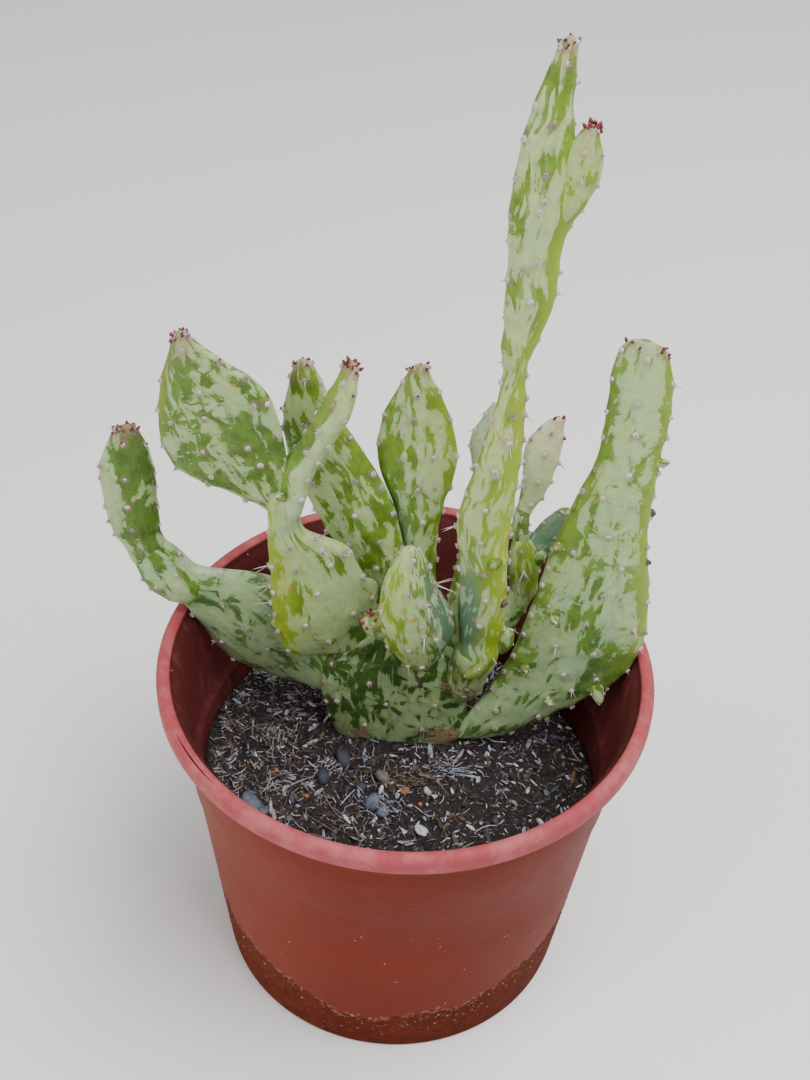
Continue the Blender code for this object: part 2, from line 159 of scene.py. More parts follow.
# --- tables ------------------------------------------------------------------------------
# Each pad as its solid has it: root and tip are the ends of its middle line, facing turns
# its flat side, edges gives its left and right margins at even steps, thick half its
# thickness, bow bends the middle line. looks sets the skin's tendencies all over the pad,
# and marks adds patches of one tendency: (which, across, along, reach across, reach along,
# strength), with across from -1 at the left margin to 1 and along from 0 at the root to 1.
# runs_on_from names the pad whose pattern carries on in this one, and how far along it.
PADS = {
    "mother_pad": dict(
        root=(-1, 10, 78), tip=(-4, 11, 167), facing=0, joins=(),
        edges=((16, 18), (26, 26), (31, 29), (32, 29), (27, 26)), thick=(5, 7, 8, 8, 6),
        looks=dict(green=-0.002, dark=0.62, rays=1.0),
        marks=(("cork", 0.8, 0.36, 0.5, 0.09, 1.0), ("cork", -0.55, 0.37, 0.22, 0.06, 0.9),
               ("green", -0.7, 0.8, 0.4, 0.2, 0.05), ("cork", 0.75, 0.72, 0.12, 0.07, 0.8),
               ("green", 0.1, 0.45, 0.3, 0.12, -0.07))),
    "left_low_pad": dict(
        root=(-28, 14, 131), tip=(-93, 21, 181), facing=-5, joins=("mother_pad",), bow=(0, -3),
        edges=((13, 12), (20, 22), (25, 28), (19, 23), (13, 13)), thick=(5, 5.5, 6, 5.5, 4.5),
        looks=dict(green=-0.055, blue=0.5, rays=0.6),
        marks=(("green", 0.95, 0.3, 0.35, 0.25, 0.2), ("yellow", 0.95, 0.3, 0.4, 0.3, 0.5),
               ("green", 0.1, 0.45, 0.3, 0.25, 0.06))),
    "left_elbow_pad": dict(
        root=(-87, 21, 171), tip=(-106, 21, 197), facing=0, joins=("left_low_pad",),
        edges=((12, 13), (14, 9), (13, 10), (10, 8)), thick=(5, 5.5, 5, 4),
        looks=dict(green=-0.05, yellow=0.1, dark=0.1),
        marks=(("green", -0.9, 0.5, 0.3, 0.4, 0.12), ("green", 0.3, 1.0, 0.8, 0.35, 0.1),
               ("dark", 0.0, 1.0, 2.0, 0.4, 0.2))),
    "left_tip_pad": dict(
        root=(-104, 21, 188), tip=(-109, 20, 257), facing=10, joins=("left_elbow_pad",),
        edges=((11, 6), (14, 6), (14.6, 7), (14, 8), (9.5, 7)), thick=(4, 5, 5.5, 5, 3.5),
        looks=dict(green=0.045, yellow=0.15, dark=0.42),
        marks=(("green", -1.0, 0.5, 0.55, 0.5, -0.2), ("green", 0.2, 0.0, 1.5, 0.12, -0.06),
               ("green", 0.4, 0.35, 0.5, 0.2, 0.12), ("green", 0.3, 0.9, 0.5, 0.2, 0.1),
               ("blush", 0.0, 1.0, 1.5, 0.08, 0.6))),
    "front_left_pad": dict(
        root=(-29, 9, 155), tip=(-47, 8, 240), facing=15, joins=("mother_pad",),
        edges=((28, 30), (24, 26), (22, 22), (20, 20), (18, 18), (16, 15), (15, 3), (13, 1), (11, 1)),
        thick=(5, 6, 6.5, 6, 5.5, 5, 4.5, 4.5, 4),
        looks=dict(green=-0.08, yellow=0.35, fine=0.15, dark=0.2),
        marks=(("green", -1.0, 0.3, 0.16, 0.5, 0.17), ("yellow", -1.0, 0.5, 0.4, 0.7, 1.5),
               # The dark mark low on its right is painted shade.
               ("green", -1.0, 0.65, 0.3, 0.25, 0.14), ("dark", 0.5, 0.2, 0.7, 0.4, 0.35),
               ("green", -0.45, 0.42, 0.2, 0.14, 0.13), ("green", 0.6, 0.14, 0.25, 0.06, 0.14),
               ("cork", 0.0, 0.01, 1.5, 0.035, 0.5))),
    "narrow_pad": dict(
        root=(-47, 6, 228), tip=(-24, 4, 302), facing=-42, joins=("front_left_pad",),
        edges=((11, 6), (11, 3), (7, 5), (5, 8), (5, 7)), thick=(4, 4.5, 4.5, 4, 3.5),
        looks=dict(green=0.03, yellow=0.15),
        marks=(("green", -0.8, 0.6, 0.75, 0.6, 0.3), ("green", 0.75, 0.5, 0.6, 0.6, -0.32),
               ("yellow", -0.4, 0.85, 0.6, 0.2, 0.5), ("blush", 0.0, 1.0, 1.5, 0.07, 0.8))),
    "left_high_pad": dict(
        root=(-48, 9, 229), tip=(-84, 8, 308), facing=-8, joins=("front_left_pad", "narrow_pad"),
        edges=((12, 2), (21, 6), (32, 13), (32, 17), (26, 17), (18, 9), (9, 3)),
        thick=(3.5, 4, 5, 5, 5, 4.5, 3.5),
        looks=dict(green=0.0, yellow=0.2, dark=0.32, rays=0.8),
        marks=(("green", 0.55, 0.32, 0.35, 0.2, 0.08), ("green", 0.1, 0.35, 0.2, 0.15, -0.06),
               ("yellow", -1.0, 0.75, 0.25, 0.2, 0.8), ("green", -1.0, 0.72, 0.2, 0.2, 0.14),
               ("blush", 0.0, 1.0, 1.5, 0.12, 0.6))),
    "back_left_pad": dict(
        root=(-4, 19, 156), tip=(-45, 30, 284), facing=-10, joins=("mother_pad",),
        edges=((6, 8), (4, 13), (11, 16), (16, 17), (19, 13), (17, 8), (8, 8)),
        thick=(4, 5, 5.5, 5.5, 5, 4.5, 3.5),
        # Its cream lightens the whole pad: painted light.
        looks=dict(green=-0.022, yellow=0.2, cream=0.12),
        marks=(("yellow", 0.6, 0.8, 0.5, 0.2, 0.3), ("green", 0.8, 0.6, 0.35, 0.4, 0.07),
               ("blush", 0.0, 1.0, 1.5, 0.05, 0.4))),
    "back_centre_pad": dict(
        root=(8, 18, 157), tip=(-1, 36, 281), facing=5, joins=("mother_pad",),
        edges=((7, 6), (8, 5), (9, 5), (12, 8), (18, 14), (17, 12), (9, 6)),
        thick=(4.5, 5, 5, 5.5, 5.5, 4.5, 3.5),
        # Its yellow and cream lighten the whole pad: painted light.
        looks=dict(green=-0.025, yellow=0.3, cream=0.2),
        marks=(("green", 1.0, 0.7, 0.4, 0.4, 0.1), ("green", -1.0, 0.7, 0.25, 0.4, 0.08),
               ("blue", -0.7, 0.35, 0.6, 0.25, 0.8), ("green", 0.7, 0.25, 0.4, 0.15, 0.12),
               ("yellow", 0.9, 0.7, 0.4, 0.4, 0.4), ("blush", 0.0, 1.0, 1.5, 0.05, 0.5))),
    "front_stub_pad": dict(
        root=(7, -2, 158), tip=(-1, -1, 224), facing=10, joins=("mother_pad",),
        edges=((8, 7), (12, 11), (15, 15), (15, 13), (14, 9), (11, 8), (7, 6)),
        thick=(6, 8, 9, 9, 8, 6.5, 5),
        looks=dict(green=-0.01, yellow=0.2, fine=0.9),
        # The blue and dark marks on its right side give blue-green streaks and painted shade.
        marks=(("yellow", -0.7, 0.65, 0.6, 0.4, 0.6), ("blue", 0.9, 0.45, 0.6, 0.45, 1.2),
               ("green", 0.8, 0.45, 0.5, 0.4, 0.07), ("dark", 0.8, 0.4, 0.6, 0.5, 0.55),
               ("green", -0.1, 0.3, 0.5, 0.25, -0.1), ("yellow", -0.4, 0.05, 1.0, 0.15, 0.7))),
    "stem_foot": dict(
        root=(25, 7, 134), tip=(29, 2, 170), facing=0, joins=("mother_pad",),
        edges=((6, 6), (9, 7), (11, 8)), thick=(5, 7, 6),
        looks=dict(green=-0.07, yellow=0.25, dark=0.3, blush=0.12, fine=0.6, rays=0.1),
        marks=(("cork", 0.0, 0.2, 1.5, 0.25, 0.6),)),
    "stem_pad": dict(
        root=(30, 2, 158), tip=(31, 3, 314), facing=0, joins=("stem_foot",),
        edges=((13, 9), (13, 9), (13, 7), (15, 6), (10, 7), (6, 7), (5, 6)),
        thick=(7, 7, 7, 6.5, 6, 5.5, 5),
        looks=dict(green=0.01, yellow=0.65, cream=0.22, fine=1.1, rays=0.2),
        marks=(("green", 0.75, 0.6, 0.4, 0.7, 0.09), ("yellow", 0.75, 0.55, 0.6, 0.5, 0.45),
               # The blue and dark marks low on its left side give blue-green streaks and painted shade.
               ("blue", -0.6, 0.2, 0.7, 0.22, 1.2), ("green", -0.6, 0.18, 0.6, 0.15, 0.09),
               ("dark", -0.7, 0.17, 0.6, 0.2, 0.25),
               ("green", -0.5, 0.7, 0.5, 0.25, -0.06))),
    "stem_top_pad": dict(
        root=(31, 3, 306), tip=(38, 6, 419.5), facing=10, joins=("stem_pad",),
        runs_on_from=("stem_pad", 148),
        edges=((7, 8), (8, 11), (9, 10), (11, 10), (11, 7), (9, 5), (6, 5)),
        thick=(5, 5.5, 5.5, 5.5, 5, 4.5, 3.5),
        looks=dict(green=0.01, yellow=0.25, cream=0.15, fine=0.8, rays=0.2),
        marks=(("green", -0.1, 0.3, 0.4, 0.25, -0.16), ("green", 0.9, 0.35, 0.4, 0.4, 0.22),
               ("yellow", 0.9, 0.35, 0.5, 0.4, 0.7), ("yellow", 0.0, 0.0, 2.0, 0.15, 0.35),
               ("blush", 0.0, 1.0, 1.5, 0.05, 0.7))),
    "stem_side_pad": dict(
        root=(41, 4, 359), tip=(48, 2, 394), facing=-15, joins=("stem_top_pad",),
        edges=((2, 5), (3, 7), (5, 7), (5, 3)), thick=(3, 4, 4, 3),
        looks=dict(green=-0.04, yellow=0.6),
        marks=(("green", 0.9, 0.2, 0.5, 0.3, 0.12), ("blush", 0.0, 0.95, 1.5, 0.2, 0.4))),
    "right_pad": dict(
        root=(24, 7, 110), tip=(76, 14, 311), facing=0, joins=("stem_foot", "mother_pad"),
        edges=((2, 28), (-3, 40.5), (-5, 54), (-4, 54), (-2, 45), (-1, 34), (-2, 28), (5, 25), (15, 22)),
        thick=(6, 6.5, 6.5, 6.5, 6, 6, 6, 5.5, 4),
        looks=dict(green=-0.07, blue=0.45, rays=0.7),
        marks=(("green", -1.0, 0.28, 0.26, 0.17, 0.1), ("yellow", -1.0, 0.3, 0.4, 0.2, 0.5),
               ("green", 0.55, 0.24, 0.34, 0.09, 0.15),
               ("green", -0.9, 0.58, 0.5, 0.09, 0.07), ("green", -1.0, 0.82, 0.3, 0.25, 0.15),
               ("green", 1.0, 0.65, 0.3, 0.45, 0.24), ("yellow", 1.0, 0.55, 0.4, 0.5, 0.7),
               ("yellow", -1.0, 0.65, 0.3, 0.2, 0.35), ("green", 0.0, 0.46, 0.35, 0.1, 0.1),
               ("green", 0.15, 0.75, 0.25, 0.06, 0.11), ("cork", 1.0, 0.17, 0.1, 0.03, 0.5),
               ("green", 0.0, 0.06, 0.6, 0.05, 0.1), ("green", 0.1, 0.9, 0.5, 0.07, -0.04),
               ("yellow", 0.0, 0.97, 2.0, 0.12, 0.3), ("green", 0.25, 0.12, 0.5, 0.06, -0.1),
               ("yellow", 0.0, 0.68, 2.0, 0.3, 0.22), ("blue", 0.0, 0.72, 2.0, 0.3, -0.25))),
    "back_stem_pad": dict(
        root=(20, 16, 154), tip=(28, 34, 220), facing=0, joins=("mother_pad",),
        edges=((7, 7), (8, 8), (7, 8), (6, 6)), thick=(4.5, 5, 5, 4),
        looks=dict(green=0.0, yellow=0.5, fine=0.4, rays=0.1)),
    "back_pale_pad": dict(
        root=(24, 33, 213), tip=(27, 38, 264), facing=0, joins=("back_stem_pad",),
        edges=((4, 5), (4, 7), (7, 8), (2, 6)), thick=(3.5, 4, 4, 3),
        looks=dict(green=-0.16, blue=0.6, cream=0.3)),
    "knee_pad": dict(
        root=(24, 16, 148), tip=(46, 28, 179), facing=0, joins=("stem_foot",),
        edges=((6, 6), (6, 9), (5, 7)), thick=(4.5, 4.5, 4), looks=dict(green=-0.05, blue=0.2)),
    "round_pad": dict(
        root=(47, 29, 171), tip=(43, 31, 203), facing=0, joins=("knee_pad",),
        edges=((5, 6), (6, 7), (6, 7), (5, 5)), thick=(5, 6, 6, 4),
        looks=dict(green=0.0, yellow=0.65, fine=0.6, rays=0.1)),
    "link_pad": dict(
        root=(43, 32, 198), tip=(42, 36, 215), facing=0, joins=("round_pad",),
        edges=((4, 4), (4, 4), (4, 4)), thick=(3.5, 4, 3.5), looks=dict(green=-0.02, blue=0.2)),
    "pale_tip_pad": dict(
        root=(43, 36, 210), tip=(54, 44, 254), facing=5, joins=("link_pad",),
        edges=((4, 4), (6, 6), (10, 6), (7, 4)), thick=(3.5, 4.5, 4.5, 3),
        looks=dict(green=-0.2, cream=0.75),
        marks=(("green", -1.0, 0.3, 0.25, 0.4, 0.16), ("blush", 0.2, 1.0, 1.0, 0.14, 0.4),
               ("cream", -0.4, 0.3, 1.2, 0.35, -0.45), ("blue", -0.4, 0.3, 1.2, 0.35, 0.3),
               ("cork", 0.7, 0.85, 0.5, 0.2, 0.16))),
    "blue_green_pad": dict(
        root=(46, 33, 188), tip=(63, 38, 214), facing=0, joins=("round_pad",),
        edges=((5, 5), (7, 7), (6, 6)), thick=(3, 4, 3), looks=dict(green=0.04, blue=1.0)),
    "tucked_pad": dict(
        root=(-21, 13, 169), tip=(-16, 17, 190), facing=0, joins=("mother_pad",),
        edges=((4, 5), (6, 6), (4, 5)), thick=(2.5, 3, 2.5), looks=dict(green=-0.05)),
}

# Each bud: its two ends, its greatest half width and the pad that carries it.
BUDS = {
    "front_stub_bud": ((-8, -3, 179), (-16, -6, 190), 6.0, "front_stub_pad"),
    "stem_bud": ((31, 1, 217), (31, -7, 221), 3.0, "stem_pad"),
    "foot_shoot": ((34, -1, 163), (23, -8, 161), 3.3, "stem_foot"),
    "spiny_bud": ((37, 3, 165), (40, 1, 181), 4.0, "stem_foot"),
    "link_bud": ((48, 30, 190), (53, 28, 199), 3.2, "round_pad"),
    "neck_bud": ((-48, 6, 236), (-51, 0, 243), 2.2, "narrow_pad"),
    "left_edge_bud": ((-48, 8, 168), (-57, 9, 173), 4.0, "front_left_pad"),
    "hanging_bud": ((77, 6, 151), (81, 1, 140), 3.2, "right_pad"),
    "upper_margin_bud": ((57, 10, 235), (54, 4, 240), 2.2, "right_pad"),
    "lower_margin_bud": ((56, 9, 219), (53, 2, 223), 3.2, "right_pad"),
    "right_face_bud": ((57, 5, 186), (57, -3, 189), 2.6, "right_pad"),
    "low_face_bud": ((48, 5, 158), (48, -3, 161), 2.6, "right_pad"),
    "bottom_face_bud": ((60, 5, 140), (60, -3, 142), 2.4, "right_pad"),
    "outer_margin_bud": ((86, 10, 260), (92, 9, 262), 2.2, "right_pad"),
}

# The growing tips that carry crimson young leaves, with how many areoles have one.
CROWNS = {
    "left_tip_pad": 11, "left_high_pad": 9, "narrow_pad": 10, "back_left_pad": 6,
    "back_centre_pad": 6, "stem_top_pad": 7, "stem_side_pad": 10, "right_pad": 9, "pale_tip_pad": 3,
}

# Old areoles with long spines, all on the front: pad, along, across, length and how many.
LONG_SPINES = (
    ("front_left_pad", 0.62, -1.0, 9, 2), ("front_left_pad", 0.5, -1.0, 11, 3),
    ("front_left_pad", 0.4, -1.0, 8, 2), ("front_left_pad", 0.72, 0.9, 6, 2),
    ("front_left_pad", 0.66, 0.55, 6, 1), ("front_left_pad", 0.6, 0.8, 8, 1),
    ("left_low_pad", 0.3, 1.0, 9, 2), ("left_low_pad", 0.5, 1.0, 8, 2),
    ("front_stub_pad", 0.72, 0.95, 12, 3), ("front_stub_pad", 0.62, 0.5, 8, 2),
    ("front_stub_pad", 0.4, 0.1, 9, 1), ("front_stub_pad", 0.12, -0.7, 8, 1),
    ("front_stub_pad", 0.93, 0.2, 11, 1), ("stem_pad", 0.47, -1.0, 9, 2),
    ("stem_pad", 0.75, 0.2, 8, 2), ("stem_pad", 0.82, 0.9, 7, 2),
    ("stem_pad", 0.06, 0.7, 7, 3), ("stem_pad", 0.67, -0.2, 6, 1),
    ("round_pad", 0.6, 0.0, 8, 2), ("round_pad", 0.35, -0.4, 7, 2),
    ("stem_top_pad", 0.55, 0.0, 5, 1), ("stem_top_pad", 0.33, -0.5, 4, 1),
    ("pale_tip_pad", 0.4, -0.9, 5, 2), ("back_pale_pad", 0.25, 0.0, 5, 2),
    ("right_pad", 0.22, 0.35, 5, 2), ("right_pad", 0.93, 1.0, 7, 1),
    ("back_centre_pad", 0.33, 0.2, 7, 1), ("back_left_pad", 0.3, 0.6, 8, 1),
)

# Dried flower scars: pad, along, across and size.
DRIED = (("stem_pad", 0.25, 0.86, 1.7), ("right_pad", 0.66, 1.0, 1.9), ("right_pad", 0.56, 0.985, 1.2))

# Tangles of matted fibre: across, towards the back, size, number of fibres, where in their
# tones they pick from 0 to 1, and heading.
TANGLES = (
    (23, -10, 11, 90, 0.61, 0.2), (-8, -31, 10, 60, 0.61, 2.4), (-30, -13, 9, 40, 0.83, 0.9),
    (6, -17, 10, 70, 0.72, 2.8), (-48, -24, 9, 40, 0.06, 0.5), (-56, 4, 10, 40, 0.5, 1.6),
)
# Single stones: across, towards the back, size, flatness and which tone.
STONES = (
    (-60, -33, 8.0, 0.55, 0), (-55, -36, 5.0, 0.6, 0), (-32, -18, 6.0, 0.7, 1), (-24, -8, 6.5, 0.6, 1),
    (-11, -30, 6.5, 0.55, 0), (-6, -34, 5.0, 0.5, 0), (10, -43, 5.2, 0.5, 3), (-7, -17, 5.5, 0.6, 4),
    (2, -22, 4.2, 0.6, 5), (-16, -22, 4.4, 0.6, 1), (12, -22, 3.6, 0.6, 2), (-44, -40, 3.0, 0.6, 4),
    (40, -34, 3.0, 0.6, 1), (62, -16, 3.4, 0.6, 0), (-24, 52, 5.0, 0.6, 0), (14, 60, 4.0, 0.6, 3),
)
# Feed beads: across and towards the back.
BEADS = ((-52, -14), (-38, -28), (9, -29), (30, 55), (-20, 62))
BEAD_RADIUS = 1.05
COARSE_CLOD = 0.6            # clods smaller than this get fewer faces

# The tones that loose bits pick from.
FIBRE_TONES = (
    (0.36, 0.315, 0.325), (0.2, 0.155, 0.15), (0.085, 0.06, 0.056), (0.04, 0.027, 0.027),
    (0.42, 0.37, 0.36), (0.4, 0.43, 0.55), (0.21, 0.135, 0.08), (0.6, 0.6, 0.68),
    (0.13, 0.105, 0.115))
CHIP_TONES = (
    (0.1, 0.072, 0.066), (0.04, 0.027, 0.025), (0.34, 0.3, 0.31), (0.28, 0.32, 0.42),
    (0.55, 0.55, 0.6), (0.07, 0.08, 0.12), (0.03, 0.02, 0.018), (0.17, 0.1, 0.055))
CLOD_TONES = (
    (0.022, 0.0145, 0.0125), (0.034, 0.024, 0.021), (0.048, 0.032, 0.028),
    (0.017, 0.012, 0.0115))
CRUMB_TONES = ((0.11, 0.05, 0.03), (0.2, 0.1, 0.065), (0.07, 0.035, 0.02), (0.33, 0.19, 0.13))
STONE_TONES = (
    (0.11, 0.135, 0.19), (0.03, 0.038, 0.065), (0.36, 0.36, 0.4), (0.5, 0.55, 0.64),
    (0.15, 0.13, 0.13), (0.26, 0.1, 0.06))
CHARCOAL_TONES = (0, 1, 4)   # stones of these tones are rough lumps, the others smooth

# The tendencies of a skin: more streaks, warmer, bluer and older streaks, bark, new growth,
# less green, feathery streaks, and rays round the areoles. Where pads' looks and marks call
# for it, dark and blue also paint shade, and yellow and cream paint light.
LOOKS = dict(
    green=0.0, yellow=0.0, blue=0.0, dark=0.0, cork=0.0, blush=0.0, cream=0.0, fine=0.0, rays=0.4)


class PotSettings(bpy.types.PropertyGroup):
    wall: FloatVectorProperty(
        name="Wall", description="Colour of the outside wall", subtype="COLOR",
        default=(0.137, 0.0115, 0.0014), min=0, max=1)
    # The lip's paler pink is painted sheen of the sky light.
    lip: FloatVectorProperty(
        name="Lip", description="Colour of the sun-bleached lip", subtype="COLOR",
        default=(0.335, 0.06, 0.07), min=0, max=1)
    inside: FloatVectorProperty(
        name="Inside", description="Colour of the inner wall", subtype="COLOR",
        default=(0.086, 0.0165, 0.017), min=0, max=1)
    dirt: FloatVectorProperty(
        name="Dirt", description="Colour of the soil stain round the foot", subtype="COLOR",
        default=(0.06, 0.0085, 0.001), min=0, max=1)
    dirt_height: FloatProperty(
        name="Dirt height", description="How high the soil stain reaches", default=0.026,
        unit="LENGTH", min=0, max=0.1)
    segments: IntProperty(
        name="Segments", description="Faces round the pot", default=180, min=24, max=360)


class SkinSettings(bpy.types.PropertyGroup):
    pale: FloatVectorProperty(
        name="Pale", description="Bloomy pale ground of the skin", subtype="COLOR",
        default=(0.40, 0.545, 0.265), min=0, max=1)
    cream: FloatVectorProperty(
        name="Cream", description="Skin with almost no green", subtype="COLOR",
        default=(0.72, 0.69, 0.43), min=0, max=1)
    green: FloatVectorProperty(
        name="Green", description="Fresh green of the streaks", subtype="COLOR",
        default=(0.1, 0.22, 0.009), min=0, max=1)
    deep: FloatVectorProperty(
        name="Deep green", description="Deeper green inside the streaks", subtype="COLOR",
        default=(0.042, 0.115, 0.006), min=0, max=1)
    # This dark green also paints shade where a pad's marks call for it.
    dark: FloatVectorProperty(
        name="Dark green", description="Streaks on the oldest pad", subtype="COLOR",
        default=(0.02, 0.065, 0.014), min=0, max=1)
    yellow: FloatVectorProperty(
        name="Yellow green", description="Sunlit margins", subtype="COLOR",
        default=(0.27, 0.39, 0.012), min=0, max=1)
    blue: FloatVectorProperty(
        name="Blue green", description="Shaded waxy parts", subtype="COLOR",
        default=(0.13, 0.24, 0.15), min=0, max=1)
    cork: FloatVectorProperty(
        name="Cork", description="Dry brown skin", subtype="COLOR",
        default=(0.27, 0.16, 0.085), min=0, max=1)
    blush: FloatVectorProperty(
        name="Blush", description="Reddish new growth and halos", subtype="COLOR",
        default=(0.34, 0.17, 0.15), min=0, max=1)
    face_size: FloatProperty(
        name="Face size", description="Size of the skin's faces", default=0.00125,
        unit="LENGTH", min=0.0006, max=0.005)


class AreoleSettings(bpy.types.PropertyGroup):
    radius: FloatProperty(
        name="Cushion", description="Radius of a woolly cushion", default=0.00098,
        unit="LENGTH", min=0.0003, max=0.003)
    wool: FloatProperty(
        name="Wool", description="Length of the wool", default=0.001,
        unit="LENGTH", min=0.0002, max=0.004)
    hairs: IntProperty(
        name="Hairs", description="Woolly hairs on each cushion", default=22, min=0, max=60)
    leaf: FloatProperty(
        name="Young leaf", description="Length of a young leaf", default=0.0021,
        unit="LENGTH", min=0.0005, max=0.008)


class SoilSettings(bpy.types.PropertyGroup):
    peat: FloatVectorProperty(
        name="Peat", description="Colour of the damp peat", subtype="COLOR",
        default=(0.0125, 0.0068, 0.0086), min=0, max=1)
    fibres: IntProperty(
        name="Fibres", description="Loose bits of fibre", default=3800, min=0, max=6000)
    chips: IntProperty(
        name="Chips", description="Loose flat chips", default=2600, min=0, max=6000)
    clods: IntProperty(
        name="Clods", description="Loose dark lumps", default=2200, min=0, max=6000)


class StageSettings(bpy.types.PropertyGroup):
    place: FloatVectorProperty(
        name="Camera", description="Where the camera stands", subtype="TRANSLATION",
        unit="LENGTH", default=(0.0, -0.4245, 0.5940))
    aim: FloatVectorProperty(
        name="Aim", description="The point that it looks at", subtype="TRANSLATION",
        unit="LENGTH", default=(-0.0039, 0.1038, 0.1349))
    roll: FloatProperty(
        name="Roll", description="How far it leans", subtype="ANGLE", default=radians(3.01))
    lens: FloatProperty(
        name="Lens", description="Focal length in millimetres", default=50.0, min=10, max=200)
    floor: FloatVectorProperty(
        name="Floor", description="Colour of the floor", subtype="COLOR",
        default=(0.86, 0.86, 0.86), min=0, max=1)


# --- shader nodes ------------------------------------------------------------------------
class Finish:
    """A procedural material, put together node by node."""

    def __init__(self, name, roughness=0.5):
        self.material = bpy.data.materials.new(name)
        self.material.use_nodes = True
        self.tree = self.material.node_tree
        self.shader = self.tree.nodes["Principled BSDF"]
        self.shader.inputs["Roughness"].default_value = roughness

    def feed(self, socket, value):
        """Link a socket to another, or set its value."""
        if isinstance(value, bpy.types.NodeSocket):
            self.tree.links.new(value, socket)
        elif value is not None:
            if hasattr(value, "__len__") and socket.type == "RGBA":
                value = (*value, 1.0)[:4]
            socket.default_value = value

    def node(self, kind, inputs, **settings):
        """Add a node, with inputs as a dictionary from a socket's name or number to its value."""
        made = self.tree.nodes.new("ShaderNode" + kind)
        for key, value in settings.items():
            setattr(made, key, value)
        for key, value in inputs.items():
            self.feed(made.inputs[key], value)
        return made

    def attribute(self, name):
        return self.node("Attribute", {}, attribute_name=name).outputs["Vector"]

    def place(self):
        """The point on the piece, in metres."""
        return self.node("TexCoord", {}).outputs["Object"]

    def split(self, vector):
        return self.node("SeparateXYZ", {0: vector}).outputs

    def maths(self, operation, a, b=None, clamp=False):
        return self.node("Math", {0: a, 1: b}, operation=operation, use_clamp=clamp).outputs[0]

    def scaled(self, value, factor, offset):
        """The value times a factor, plus an offset."""
        inputs = {0: value, 1: factor, 2: offset}
        return self.node("Math", inputs, operation="MULTIPLY_ADD").outputs[0]

    def vector(self, operation, a, b=None):
        output = "Value" if operation == "LENGTH" else "Vector"
        return self.node("VectorMath", {0: a, 1: b}, operation=operation).outputs[output]

    def noise(self, vector, scale, detail=3.0, roughness=0.55, distortion=0.0):
        inputs = {"Vector": vector, "Scale": scale, "Detail": detail}
        inputs.update({"Roughness": roughness, "Distortion": distortion})
        return self.node("TexNoise", inputs).outputs[0]

    def cells(self, vector, scale):
        return self.node("TexVoronoi", {"Vector": vector, "Scale": scale}).outputs["Distance"]

    def between(self, value, low, high, start=0.0, end=1.0):
        """Ease from start to end as value goes from low to high."""
        inputs = {0: value, 1: low, 2: high, 3: start, 4: end}
        return self.node("MapRange", inputs, interpolation_type="SMOOTHSTEP").outputs[0]

    def mix(self, share, a, b):
        """Mix two colours."""
        return self.node("Mix", {0: share, 6: a, 7: b}, data_type="RGBA").outputs[2]

    def blend(self, share, a, b):
        """Mix two numbers."""
        return self.node("Mix", {0: share, 2: a, 3: b}, data_type="FLOAT").outputs[0]

    def bump(self, height, distance, strength=1.0, under=None):
        inputs = {"Height": height, "Distance": distance, "Strength": strength, "Normal": under}
        return self.node("Bump", inputs).outputs[0]

    def wear(self, colour=None, roughness=None, normal=None):
        """Send the results to the shader."""
        self.feed(self.shader.inputs["Base Color"], colour)
        self.feed(self.shader.inputs["Roughness"], roughness)
        if normal is not None:
            self.feed(self.shader.inputs["Normal"], normal)
        return self.material


# Second shades, mixed into the colours that the settings hold.
GROUND_MOTTLE = (0.31, 0.46, 0.175)
GROUND_BLUISH = (0.3, 0.44, 0.33)
GROUND_SUNNY = (0.42, 0.51, 0.15)
GROUND_YELLOW = (0.38, 0.48, 0.1)
GROUND_BLUE = (0.28, 0.42, 0.3)
GROUND_OLD_AND_PAINTED_SHADE = (0.25, 0.35, 0.165)
BARK_RIDGE = (0.42, 0.3, 0.19)
SCAR_TAN = (0.42, 0.19, 0.05)
DEBRIS_GRIME = (0.03, 0.02, 0.015)
DRY_PEAT = (0.04, 0.027, 0.031)
DRY_CRUMB = (0.11, 0.092, 0.09)
PALE_GRIT = (0.4, 0.38, 0.42)
WALL_MOTTLE = (0.155, 0.0145, 0.0025)
# painted shade low on the wall
WALL_PAINTED_SHADE = (0.115, 0.0085, 0.0006)
WALL_CLOUD = (0.2, 0.036, 0.014)
# painted light on the left side of the wall
WALL_PAINTED_LIGHT = (0.2, 0.038, 0.018)
# painted sheen on the lip
LIP_SHEEN_CLOUD = (0.42, 0.115, 0.128)
INSIDE_DUST = (0.16, 0.048, 0.04)
INSIDE_STREAK = (0.2, 0.083, 0.068)
SCUFF = (0.25, 0.06, 0.03)
STAIN_THIN = (0.1, 0.017, 0.006)
STAIN_TIDE = (0.36, 0.17, 0.1)
CHALK_SPECK = (0.75, 0.6, 0.52)
FLOOR_CLOUD = (0.9, 0.9, 0.9)


